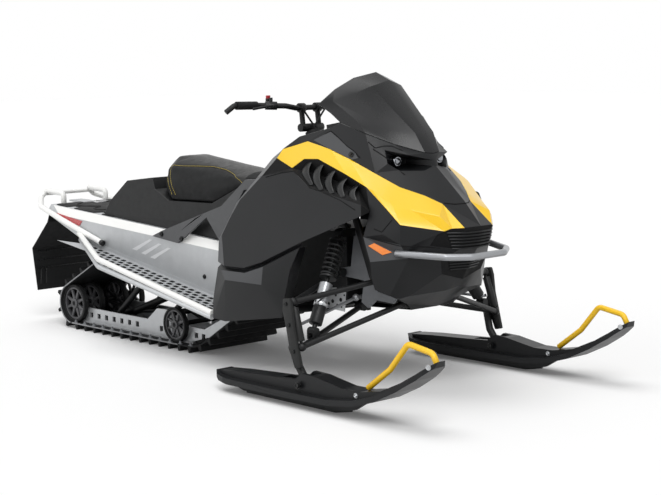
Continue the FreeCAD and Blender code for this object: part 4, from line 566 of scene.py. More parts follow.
def turned(direction: Vector, lean: Optional[Vector] = None) -> Matrix:
    """Gives the turn that brings Z onto a direction and X as near as can be to another.

    Args:
        direction: where local Z ends up.
        lean: the way local X leans, or None where that doesn't matter.

    Returns:
        A rotation as a 4 x 4 matrix.
    """
    z = direction.normalized()
    if lean is None:
        lean = UP if abs(z.z) < 0.9 else FORWARD
    y = z.cross(lean).normalized()
    return Matrix((y.cross(z), y, z)).transposed().to_4x4()


def spread(master: bpy.types.Object, name: str, places: Sequence[Matrix]) -> bpy.types.Object:
    """Copies a master once for each place and joins the copies to one piece.

    Args:
        master: the piece modelled once, at the origin. It is used up.
        name: the name of the joined piece.
        places: where each copy goes.

    Returns:
        The joined piece.
    """
    copies = [copied(master) for _ in places]
    for copy, place in zip(copies, places):
        copy.data.transform(place)
    bpy.data.objects.remove(master)
    return joined(name, copies)


def mirrored(piece: bpy.types.Object, name: str) -> bpy.types.Object:
    """Makes the other side's copy of a piece.

    Args:
        piece: the piece on one side.
        name: the copy's name.

    Returns:
        The copy, mirrored about the middle plane.
    """
    copy = named(copied(piece), name)
    copy.data.transform(Matrix.Scale(-1, 4, (0, 1, 0)))
    copy.data.flip_normals()
    return copy


def tube(name: str, path: Sequence[Vector], radius: float, roundness: int = 4,
         smooth: bool = True) -> bpy.types.Object:
    """Draws a round rod or cord along a path, as a mesh.

    Args:
        name: the piece's name.
        path: the points its middle line goes through, in metres.
        radius: the rod's radius, in metres.
        roundness: how many facets are added to each quarter of its section.
        smooth: whether the line bends between the points or runs straight.

    Returns:
        The new piece.
    """
    deselect()
    bpy.ops.curve.primitive_nurbs_path_add()
    piece = bpy.context.object
    curve = piece.data
    curve.splines.clear()
    line = curve.splines.new("BEZIER" if smooth else "POLY")
    if smooth:
        line.bezier_points.add(len(path) - 1)
        for point, place in zip(line.bezier_points, path):
            point.co = place
            point.handle_left_type = point.handle_right_type = "AUTO"
    else:
        line.points.add(len(path) - 1)
        for point, place in zip(line.points, path):
            point.co = (*place, 1)
    curve.dimensions = "3D"
    curve.resolution_u = 6
    curve.bevel_depth = radius
    curve.bevel_resolution = roundness
    curve.use_fill_caps = True
    take(piece)
    bpy.ops.object.convert(target="MESH")
    piece = named(bpy.context.object, name)
    smooth_below(piece, 40)
    return piece


class Skin:
    """Finds places on the surface of the CAD nodes."""

    def __init__(self) -> None:
        """Starts with no surface read."""
        self.trees: Dict[str, BVHTree] = {}

    def tree(self, node: str) -> BVHTree:
        """Reads a node's surface, once.

        Args:
            node: the CAD node's name.

        Returns:
            The surface as a tree for ray casts.
        """
        if node not in self.trees:
            part = bpy.data.objects[node]
            corners = [part.matrix_world @ v.co for v in part.data.vertices]
            self.trees[node] = BVHTree.FromPolygons(corners, [p.vertices[:] for p in part.data.polygons])
        return self.trees[node]

    def meet(self, nodes: Sequence[str], start: Vector, way: Vector) -> Tuple[Vector, Vector]:
        """Finds the first surface that a line meets.

        Args:
            nodes: the CAD nodes looked at.
            start: where the line starts.
            way: its direction.

        Returns:
            The place it meets and the surface's outward normal there.
        """
        best = None
        for node in nodes:
            place, normal, _, far = self.tree(node).ray_cast(start, way.normalized())
            if place is not None and (best is None or far < best[0]):
                best = (far, place, normal)
        if best is None:
            raise ValueError(f"no surface of {nodes} from {tuple(start)} along {tuple(way)}")
        return best[1], best[2] if best[2].dot(way) < 0 else -best[2]


def shaped(piece: bpy.types.Object, width: float, segments: int = 2, angle: float = 30.0) -> bpy.types.Object:
    """Rounds a piece's sharp edges and shades it smooth between them.

    Args:
        piece: the piece worked on.
        width: the rounding's width, in metres.
        segments: how many strips make up the rounding.
        angle: the least angle of an edge that gets it, in degrees.

    Returns:
        The same piece.
    """
    apply(piece, rounding_on(piece, width, angle, segments))
    smooth_below(piece, angle)
    return piece


def rod(name: str, start: Vector, end: Vector, radius: float, sides: int = 24) -> bpy.types.Object:
    """Turns a round bar between two places.

    Args:
        name: the piece's name.
        start: one end, in metres.
        end: the other end.
        radius: the bar's radius.
        sides: how many facets go round.

    Returns:
        The new piece.
    """
    deselect()
    bpy.ops.mesh.primitive_cylinder_add(vertices=sides, radius=radius, depth=(end - start).length)
    piece = named(bpy.context.object, name)
    piece.data.transform(Matrix.Translation((start + end) / 2) @ turned(end - start))
    return piece


def flat(name: str, outline: Sequence[Vector], fill: Fill = Fill.FACE) -> bpy.types.Object:
    """Draws one face, or only its edge, through corners in turn.

    Args:
        name: the piece's name.
        outline: its corners in turn, in metres.
        fill: what is inside the edge.

    Returns:
        The new piece.
    """
    deselect()
    bpy.ops.mesh.primitive_circle_add(vertices=len(outline), fill_type=fill.value)
    piece = named(bpy.context.object, name)
    for corner, place in zip(piece.data.vertices, outline):
        corner.co = place
    return piece


def plate(name: str, outline: Sequence[Vector], through: Vector) -> bpy.types.Object:
    """Cuts a flat plate to an outline.

    Args:
        name: the piece's name.
        outline: its corners in turn, in metres.
        through: the way and the thickness it is given.

    Returns:
        The new piece.
    """
    piece = flat(name, outline)
    with editing(piece):
        bpy.ops.mesh.extrude_region_move(TRANSFORM_OT_translate={"value": through})
    face_out(piece)
    return piece


def laid(name: str, skin: Skin, nodes: Sequence[str], outline: Sequence[Vector], way: Vector,
         thickness: float) -> bpy.types.Object:
    """Lays a thin cover over a curved surface.

    Args:
        name: the piece's name.
        skin: finds the surface.
        nodes: the CAD nodes that carry the cover.
        outline: its corners in turn, seen along the way.
        way: the direction in which the outline is cast onto the surface, one metre long.
        thickness: how thick the cover is.

    Returns:
        The new piece.
    """
    stand_back, lift, cuts = 1.5, 0.0003, 5
    piece = flat(name, outline)
    with editing(piece):
        bpy.ops.mesh.poke()
        bpy.ops.mesh.subdivide(number_cuts=cuts)
    outward = Vector()
    for corner in piece.data.vertices:
        place, normal = skin.meet(nodes, corner.co - way * stand_back, way)
        corner.co = place + normal * lift
        outward += normal
    face_out(piece)
    piece.data.update()
    if sum((p.normal for p in piece.data.polygons), Vector()).dot(outward) < 0:
        piece.data.flip_normals()
    solid = piece.modifiers.new("sheet", "SOLIDIFY")
    solid.thickness = thickness
    solid.offset = 1.0
    apply(piece, solid)
    smooth_below(piece, 35)
    return piece


def finished(piece: bpy.types.Object, finish: Finish, body: str = ROOT,
             replaces: Sequence[str] = ()) -> bpy.types.Object:
    """Gives a piece its finish and ties it to the body it rides on.

    Args:
        piece: the piece.
        finish: what it is made of.
        body: the CAD body that carries it.
        replaces: the CAD nodes it stands for.

    Returns:
        The same piece.
    """
    if not piece.data.materials:
        piece.data.materials.append(finish.material())
    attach(piece, body)
    if replaces:
        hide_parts(*replaces)
    return piece


def bolt(radius: float, height: float) -> bpy.types.Object:
    """Makes a flanged hexagon bolt's head with a recess, standing on the origin along Z.

    Args:
        radius: half the width over the head's corners.
        height: how far the head stands proud.

    Returns:
        The head, as a master for spread.
    """
    flange = rod("flange", Vector(), UP * height * 0.3, radius * 1.3, 20)
    head = rod("head", UP * height * 0.245, UP * height * 0.995, radius, 6)
    with editing(head):
        bpy.ops.mesh.select_all(action="DESELECT")
    for face in head.data.polygons:
        face.select = face.normal.z > 0.9
    bpy.ops.object.mode_set(mode="EDIT")
    bpy.ops.mesh.select_mode(type="FACE")
    bpy.ops.mesh.inset(thickness=radius * 0.3, depth=0)
    bpy.ops.mesh.extrude_region_move(TRANSFORM_OT_translate={"value": (0, 0, -height * 0.35)})
    bpy.ops.object.mode_set(mode="OBJECT")
    return joined("bolt", (shaped(head, height * 0.08, 1), flange))


def panel_copy(node: str, name: str, crease: float, rounding: float = 0.0) -> bpy.types.Object:
    """Copies a CAD node as a looks piece with its shallow bends smooth and its creases rounded.

    Args:
        node: the CAD node copied.
        name: the piece's name.
        crease: the least angle, in degrees, that stays a crease.
        rounding: the width of the rounded creases, in metres, or 0 to leave them sharp.

    Returns:
        The new piece, merged and with clean faces.
    """
    source = bpy.data.objects[node]
    mesh = source.data.copy()
    mesh.transform(source.matrix_world)
    mesh.materials.clear()
    piece = named(bpy.data.objects.new(name, mesh), name)
    bpy.context.collection.objects.link(piece)
    take(piece)
    bpy.ops.mesh.customdata_custom_splitnormals_clear()
    with editing(piece):
        bpy.ops.mesh.remove_doubles(threshold=MERGE_GAP)
        bpy.ops.mesh.dissolve_limited(angle_limit=math.radians(0.6))
        bpy.ops.mesh.normals_make_consistent(inside=False)
    if rounding:
        apply(piece, rounding_on(piece, rounding, crease))
    smooth_below(piece, crease)
    even = piece.modifiers.new("even_faces", "WEIGHTED_NORMAL")
    even.keep_sharp = True
    apply(piece, even)
    return piece


# ---- The machine's sub-assemblies


ANYWHERE = (-9.0, 9.0)


@dataclass(frozen=True)
class GreyZone:
    """A box and a heading that pick out the faces of one panel that get a painted highlight of lighter grey, in
    metres.
    """

    node: str
    along: Tuple[float, float] = ANYWHERE
    heights: Tuple[float, float] = ANYWHERE
    least_sideways: float = 0.5
    most_forward: float = 1.0

    def holds(self, at: Vector, normal: Vector) -> bool:
        """Tells whether a face belongs to the zone, by its middle and its outward normal."""
        inside = self.along[0] < at.x < self.along[1] and self.heights[0] < at.z < self.heights[1]
        return inside and abs(normal.y) > self.least_sideways and normal.x <= self.most_forward


@dataclass(frozen=True)
class Intake:
    """A grille's slats, with sizes in millimetres."""

    name: str
    lowest: float
    step: float
    count: int
    half_width: float
    widening: float
    radius: float


@dataclass
class Bodywork:
    """The moulded panels: hood, sides, nose, screen and what is fixed to them."""

    skin: Skin
    crease: float = 17.0
    screen_crease: float = 38.0
    rounding: float = 0.0025
    panels: Tuple[Tuple[str, str, Finish, Slot], ...] = (
        ("hood", "hood_shell", BODY_BLACK, Slot.BLACK_BODY),
        ("side_panels", "side_panel_shells", BODY_BLACK, Slot.BLACK_BODY),
        ("lower_panels", "lower_panel_shells", BODY_BLACK, Slot.BLACK_BODY),
        ("nose_cowl", "nose_shell", BODY_BLACK, Slot.BLACK_BODY),
        ("belly_pan", "belly_shell", BODY_BLACK, Slot.BLACK_BODY),
        ("console", "console_shell", BODY_BLACK, Slot.BLACK_BODY),
        # vent backs: near-black painted shade in the recess behind the fins
        ("side_vents", "vent_backs", JOINT_AND_SHADE_BLACK, Slot.BLACK_BODY),
        ("accent_panels", "accent_shells", BODY_YELLOW, Slot.YELLOW_BODY),
        ("windshield", "screen_shell", SMOKE, Slot.SMOKE_SCREEN),
        # grille backs: near-black painted shade behind the slats
        ("front_grilles", "grille_backs", JOINT_AND_SHADE_BLACK, Slot.BLACK_BODY))
    grey_zones: Tuple[GreyZone, ...] = (
        GreyZone("side_panels", most_forward=-0.3),
        GreyZone("lower_panels", (0.24, 0.50), (0.398, 0.49), least_sideways=0.8),
        GreyZone("nose_cowl", (0.93, 1.06), (0.52, 0.605)))
    intakes: Tuple[Intake, ...] = (Intake("upper_slats", 575, 12, 6, 100, 0.4, 3.4),
                                   Intake("lower_slats", 492, 11, 5, 76, 0.5, 3.2))
    slat_stops: int = 6
    fin_width: float = 0.040
    fin_bulge: float = 0.024
    fin_crown: float = 0.008
    fin_wall: float = 0.004
    fin_tops: Tuple[Place, ...] = ((566, -250, 883), (634, -251, 876), (704, -252, 856), (772, -250, 832),
                                   (836, -250, 808))
    fin_feet: Tuple[Place, ...] = ((630, -312, 794), (692, -318, 780), (752, -318, 770), (810, -318, 760),
                                   (870, -314, 748))
    seam_radius: float = 0.0022
    seam_stops: int = 5
    seams_seen: Tuple[Tuple[str, Tuple[Place, ...]], ...] = (
        ("nose_line", ((1102, -71, 738), (1127, -38, 733), (1147, 0, 735))),
        ("brow_line", ((818, -185, 961), (846, -176, 939), (870, -147, 946), (888, -127, 945),
                       (930, -112, 928))),
        ("lamp_line", ((841, -182, 935), (885, -163, 906), (905, -152, 880), (955, -127, 839))),
        ("chin_line", ((932, -290, 612), (971, -279, 604), (1049, -253, 589), (1102, -175, 582),
                       (1140, -135, 578))),
        ("cheek_line", ((1018, -263, 684), (987, -285, 639), (951, -290, 648))),
        ("panel_line", ((383, -322, 814), (458, -309, 833), (520, -302, 843), (576, -306, 819),
                        (640, -325, 786), (697, -325, 777), (812, -330, 750), (898, -336, 719))),
        ("cover_line", ((626, -229, 987), (653, -222, 999), (695, -220, 973), (737, -219, 944),
                        (776, -214, 923), (801, -212, 901))))
    cover_outline: Spots = ((575, 962), (626, 985), (653, 996), (695, 971), (737, 943), (776, 921),
                            (795, 900), (772, 893))
    cover_thickness: float = 0.0016
    latch_at: Tuple[float, float] = (764, 912)
    latch_radius: float = 0.011
    latch_proud: float = 0.006
    latch_grip: Spots = ((-9, -9), (-4, -11), (10, 8), (5, 11))

    def shells(self) -> None:
        """Makes each panel's looks from its CAD node, with a painted highlight of lighter grey on the faces in
        its zones.
        """
        for node, name, finish, slot in self.panels:
            crease = self.screen_crease if node == "windshield" else self.crease
            shell = finished(panel_copy(node, name, crease, self.rounding), finish, replaces=[node])
            shell.data.materials.append(GREY_COVER_AND_PAINTED_LIGHT.material())
            # Faces in the zones take the grey as a painted highlight, where the facets catch the light.
            zones = [zone for zone in self.grey_zones if zone.node == node]
            for face in shell.data.polygons:
                face.material_index = int(any(zone.holds(face.center, face.normal) for zone in zones))

    def slats(self, intake: Intake) -> None:
        """Puts slats across a grille.

        Args:
            intake: the grille's measures.
        """
        bars = []
        radius = intake.radius * MM
        for index in range(intake.count):
            rise = intake.step * index
            reach = intake.half_width + rise * intake.widening
            path = []
            for stop in range(-self.slat_stops, self.slat_stops + 1):
                start = mm(1700, reach * stop / self.slat_stops, intake.lowest + rise)
                place, normal = self.skin.meet(["front_grilles", "nose_cowl"], start, -FORWARD)
                path.append(place + normal * radius * 0.6)
            bars.append(tube(f"{intake.name}_{index}", path, radius, 2, smooth=False))
        finished(joined(intake.name, bars), BODY_BLACK)

    def fin(self, name: str, top: Vector, foot: Vector) -> bpy.types.Object:
        """Bends one crowned fin of a side vent.

        Args:
            name: the piece's name.
            top: the middle of its upper end.
            foot: the middle of its lower end.

        Returns:
            The fin.
        """
        deselect()
        bpy.ops.mesh.primitive_grid_add(x_subdivisions=10, y_subdivisions=5, size=1)
        piece = named(bpy.context.object, name)
        for corner in piece.data.vertices:
            down, across = corner.co.x + 0.5, corner.co.y * 2
            swell = math.sin(math.pi * min(1.0, down * 1.05))
            wide = self.fin_width * (0.75 + 0.35 * swell)
            crown = self.fin_crown * (swell * 0.9 + 0.5 * (1 - across ** 2))
            corner.co = top.lerp(foot, down) + Vector((across * wide / 2 - self.fin_bulge * swell, -crown,
                                                       across * wide * 0.12))
        solid = piece.modifiers.new("thick", "SOLIDIFY")
        solid.thickness = self.fin_wall
        apply(piece, solid)
        face_out(piece)
        return shaped(piece, 0.0012, 2, 50)

    def louvres(self) -> None:
        """Stands five curved fins in each side vent."""
        ends = zip(self.fin_tops, self.fin_feet)
        right = joined("louvres_right", [self.fin(f"fin_{i}", mm(*top), mm(*foot))
                                         for i, (top, foot) in enumerate(ends)])
        for piece in (right, mirrored(right, "louvres_left")):
            finished(piece, GLOSS_BLACK)

    def covers(self) -> None:
        """Lays the lighter access covers on the hood's sides, with a turn latch on each."""
        inward = Vector((0, 1, 0))
        cover = laid("hood_cover_right", self.skin, ["hood", "accent_panels"],
                     [mm(x, -300, z) for x, z in self.cover_outline], inward, self.cover_thickness)
        shaped(cover, 0.0006, 1, 60)
        x, z = self.latch_at
        place, normal = self.skin.meet(["hood"], mm(x, -600, z), inward)
        front = place + normal * self.latch_proud
        body = shaped(rod("latch_body", place - normal * 0.002, front, self.latch_radius), 0.001)
        grip = plate("latch_grip", [front + mm(dx, 0, dz) for dx, dz in self.latch_grip], normal * 0.004)
        latch = joined("latch_right", (body, shaped(grip, 0.0008, 1)))
        for right, left, finish in ((cover, "hood_cover_left", GREY_COVER_AND_PAINTED_LIGHT),
                                    (latch, "latch_left", GLOSS_BLACK)):
            for piece in (right, mirrored(right, left)):
                finished(piece, finish)

    def seams(self) -> None:
        """Draws the dark shut lines between the panels, as the eye sees them from the right, and mirrored."""
        nodes = ["hood", "nose_cowl", "accent_panels", "side_panels", "lower_panels", "windshield",
                 "belly_pan", "side_vents"]
        beads = []
        for name, corners in self.seams_seen:
            path = []
            for start, end in zip(corners, corners[1:]):
                for stop in range(self.seam_stops + 1):
                    aim = mm(*start).lerp(mm(*end), stop / self.seam_stops)
                    path.append(self.skin.meet(nodes, EYE, aim - EYE)[0])
            path = [p for p, q in zip(path, path[1:] + [None]) if q is None or (p - q).length > 0.0005]
            beads.append(tube(name, path, self.seam_radius, 1, smooth=False))
        right = joined("shut_lines_right", beads)
        for piece in (right, mirrored(right, "shut_lines_left")):
            finished(piece, JOINT_AND_SHADE_BLACK)

    def build(self) -> None:
        """Makes all of the bodywork."""
        self.shells()
        for intake in self.intakes:
            self.slats(intake)
        self.louvres()
        self.covers()
        self.seams()


@dataclass
class Seat:
    """The stuffed seat: a puffed cover with sewn channels and yellow thread."""

    voxel: float = 0.006
    pressure: float = 4.0
    frames: int = 20
    cap: float = 0.012
    held_reach: float = 0.005
    foot_height: float = 0.004
    channel_depth: float = 0.0035
    channel_width: float = 0.006
    stitch_radius: float = 0.0011
    stitch_length: float = 0.0062
    stitch_spacing: float = 0.0095
    seam_rows: Tuple[Spots, ...] = (
        ((-0.497, 0.803), (-0.478, 0.809), (-0.413, 0.808), (-0.321, 0.811), (-0.230, 0.812), (-0.144, 0.803),
         (-0.069, 0.786), (-0.018, 0.764), (0.012, 0.748)),
        ((-0.497, 0.803), (-0.492, 0.769), (-0.458, 0.720), (-0.430, 0.672)),
        ((-0.530, 0.785), (-0.520, 0.750), (-0.482, 0.710), (-0.455, 0.672)))

    def cover(self) -> bpy.types.Object:
        """Blows a slightly smaller copy of the CAD seat up as far as the cap allows.

        Returns:
            The stuffed cover.
        """
        piece = panel_copy("seat", "seat_cover", 40)
        with editing(piece):
            bpy.ops.transform.shrink_fatten(value=-self.cap * 0.45)
        piece.data.remesh_voxel_size = self.voxel
        bpy.ops.object.voxel_remesh()
        smooth = piece.modifiers.new("even", "SMOOTH")
        smooth.iterations = 6
        apply(piece, smooth)
        rest = [v.co.copy() for v in piece.data.vertices]
        self.puff(piece)
        for vertex, start in zip(piece.data.vertices, rest):
            move = vertex.co - start
            if move.length > self.cap:
                vertex.co = start + move.normalized() * self.cap
        return piece

    def puff(self, piece: bpy.types.Object) -> None:
        """Blows the cover up as sewn cloth, held at its seams and along its foot.

        Args:
            piece: the cover.
        """
        held = piece.vertex_groups.new(name="held")
        tree = self.seam_tree(piece)
        lowest = min(v.co.z for v in piece.data.vertices)
        normals = [v.normal.copy() for v in piece.data.vertices]
        for vertex, normal in zip(piece.data.vertices, normals):
            sewn = tree.find(vertex.co)[2] < self.held_reach
            if sewn or normal.z < -0.6 or vertex.co.z < lowest + self.foot_height:
                held.add([vertex.index], 1.0, "REPLACE")
        cloth = piece.modifiers.new("cover", "CLOTH")
        cloth.settings.vertex_group_mass = held.name
        cloth.settings.use_pressure = True
        cloth.settings.uniform_pressure_force = self.pressure
        cloth.settings.effector_weights.gravity = 0
        cloth.settings.quality = 4
        for step in range(1, self.frames + 1):
            bpy.context.scene.frame_set(step)
        apply(piece, cloth)
        bpy.context.scene.frame_set(1)

    def seam_points(self, piece: bpy.types.Object, spacing: float) -> List[List[Vector]]:
        """Gives each seam's points on a cover, on both sides.

        Args:
            piece: the cover.
            spacing: the distance between points.

        Returns:
            One list of places for each seam and side.
        """
        corners = [v.co.copy() for v in piece.data.vertices]
        tree = BVHTree.FromPolygons(corners, [p.vertices[:] for p in piece.data.polygons])
        rows = []
        for side in Side:
            for row in self.seam_rows:
                places = []
                for (x0, z0), (x1, z1) in zip(row, row[1:]):
                    count = max(1, round(math.hypot(x1 - x0, z1 - z0) / spacing))
                    for t in (i / count for i in range(count)):
                        start = Vector((x0 + (x1 - x0) * t, side.value * 0.5, z0 + (z1 - z0) * t))
                        place, *_ = tree.ray_cast(start, -side.out)
                        if place is not None:
                            places.append(place)
                rows.append(places)
        return rows

    def seam_tree(self, piece: bpy.types.Object) -> KDTree:
        """Puts the seams' points in a tree for nearest-point searches.

        Args:
            piece: the cover.

        Returns:
            The tree.
        """
        points = [p for row in self.seam_points(piece, 0.003) for p in row]
        tree = KDTree(len(points))
        for index, point in enumerate(points):
            tree.insert(point, index)
        tree.balance()
        return tree

    def piping_height(self, x: float) -> float:
        """Returns how high the topmost seam runs at a place along the seat, in metres."""
        line = self.seam_rows[0]
        return next((z0 + (z1 - z0) * (x - x0) / (x1 - x0)
                     for (x0, z0), (x1, z1) in zip(line, line[1:]) if x0 <= x <= x1), 0.80)

    def thread(self, piece: bpy.types.Object) -> None:
        """Sews the yellow thread along the seams.

        Args:
            piece: the finished cover.
        """
        half, longest_gap, proud = UP * self.stitch_length / 2, 0.03, 0.0004
        stitch = rod("stitch", -half, half, self.stitch_radius, 6)
        places = []
        for row in self.seam_points(piece, self.stitch_spacing):
            for start, end in zip(row, row[1:]):
                if (end - start).length < longest_gap:
                    middle = (start + end) / 2
                    out = Vector((0, math.copysign(proud, middle.y), proud))
                    places.append(Matrix.Translation(middle + out) @ turned(end - start))
        finished(spread(stitch, "seat_thread", places), THREAD)

    def build(self) -> None:
        """Makes the cover, its channels, its two vinyls and the thread."""
        piece = self.cover()
        finer = piece.modifiers.new("finer", "SUBSURF")
        finer.levels = finer.render_levels = 1
        apply(piece, finer)
        tree = self.seam_tree(piece)
        normals = [v.normal.copy() for v in piece.data.vertices]
        for vertex, normal in zip(piece.data.vertices, normals):
            far = tree.find(vertex.co)[2]
            if far < 0.02:
                vertex.co -= normal * self.channel_depth * math.exp(-(far / self.channel_width) ** 2)
        piece.data.materials.append(SEAT_SIDE.material())
        piece.data.materials.append(SEAT_TOP.material())
        for face in piece.data.polygons:
            face.use_smooth = True
            face.material_index = int(face.center.z > self.piping_height(face.center.x))
        finished(piece, SEAT_SIDE, replaces=["seat"])
        self.thread(piece)


@dataclass
class Undercarriage:
    """The track's wheels, their measures taken from the CAD ones and their parts as shares of the radius."""

    tyre_inside: float = 0.86
    rim_inside: float = 0.76
    rim_width: float = 0.7
    hub: float = 0.27
    cap: float = 0.12
    spoke_from: float = 0.22
    spoke_to: float = 0.80
    spoke_half: float = 0.055
    spoke_flare: float = 1.7
    spoke_depth: float = 0.42
    large_radius: float = 0.06
    large_spokes: int = 8
    small_spokes: int = 5

    def wheel_boxes(self) -> List[Tuple[Vector, float, float]]:
        """Measures the CAD wheels, each a solid by itself.

        Returns:
            The middle, radius and width of each.
        """
        source = bpy.data.objects["track_wheels"]
        work = bmesh.new()
        work.from_mesh(source.data)
        work.transform(source.matrix_world)
        bmesh.ops.remove_doubles(work, verts=work.verts, dist=MERGE_GAP)
        seen = set()
        wheels = []
        for seed in work.verts:
            if seed in seen:
                continue
            group, queue = [], [seed]
            seen.add(seed)
            while queue:
                vertex = queue.pop()
                group.append(vertex.co.copy())
                others = {edge.other_vert(vertex) for edge in vertex.link_edges} - seen
                seen |= others
                queue.extend(others)
            lowest, highest = (Vector([end(c[i] for c in group) for i in range(3)]) for end in (min, max))
            wheels.append(((lowest + highest) / 2, (highest.x - lowest.x) / 2, highest.y - lowest.y))
        work.free()
        return wheels

    def ring(self, name: str, outer: float, inner: float, width: float) -> bpy.types.Object:
        """Turns a ring about Y from its square section.

        Args:
            name: the piece's name.
            outer: outer radius.
            inner: inner radius.
            width: width along Y.

        Returns:
            The new piece.
        """
        half = width / 2
        corners = ((inner, -half), (outer, -half), (outer, half), (inner, half))
        section = [Vector((x, y, 0)) for x, y in corners]
        piece = flat(name, section, Fill.NOTHING)
        with editing(piece):
            bpy.ops.mesh.spin(steps=48, angle=TURN, center=(0, 0, 0), axis=(0, 1, 0))
            bpy.ops.mesh.select_all(action="SELECT")
            bpy.ops.mesh.remove_doubles(threshold=1e-5)
            bpy.ops.mesh.normals_make_consistent(inside=False)
        return shaped(piece, min(width, outer - inner) * 0.12, 2)

    def spoke(self, angle: float, radius: float, width: float) -> bpy.types.Object:
        """Cuts one spoke, wider at the hub.

        Args:
            angle: where it stands, in radians.
            radius: the wheel's radius.
            width: the wheel's width.

        Returns:
            The spoke.
        """
        out = Vector((math.cos(angle), 0, math.sin(angle)))
        across = Vector((-math.sin(angle), 0, math.cos(angle))) * radius * self.spoke_half
        near, far = out * radius * self.spoke_from, out * radius * self.spoke_to
        depth = Vector((0, width * self.spoke_depth, 0))
        flared = across * self.spoke_flare
        corners = (near - flared, far - across, far + across, near + flared)
        return shaped(plate("spoke", [corner - depth / 2 for corner in corners], depth), radius * 0.012, 1)

    def wheel(self, name: str, centre: Vector, radius: float, width: float) -> None:
        """Makes one wheel: tyre, rim, hub, cap and spokes.

        Args:
            name: the piece's name.
            centre: its middle, in metres.
            radius: its outer radius.
            width: its width.
        """
        end = Vector((0, width / 2, 0))
        tyre = self.ring(f"{name}_tyre", radius, radius * self.tyre_inside, width)
        rim = self.ring(f"{name}_rim", radius * self.tyre_inside, radius * self.rim_inside,
                        width * self.rim_width)
        hub = shaped(rod("hub", -end, end, radius * self.hub, 28), width * 0.06)
        cap = rod("cap", -end, end * 0.98, radius * self.cap, 20)
        count = self.large_spokes if radius > self.large_radius else self.small_spokes
        spokes = [self.spoke(TURN * (index + 0.5) / count, radius, width) for index in range(count)]
        whole = joined(name, (rim, hub, cap, *spokes))
        for piece in (whole, tyre):
            piece.data.transform(Matrix.Translation(centre))
        finished(whole, WHEEL_BLACK, replaces=["track_wheels"])
        finished(tyre, RUBBER)

    def build(self) -> None:
        """Makes every wheel."""
        for index, box in enumerate(self.wheel_boxes()):
            self.wheel(f"wheel_{index}", *box)


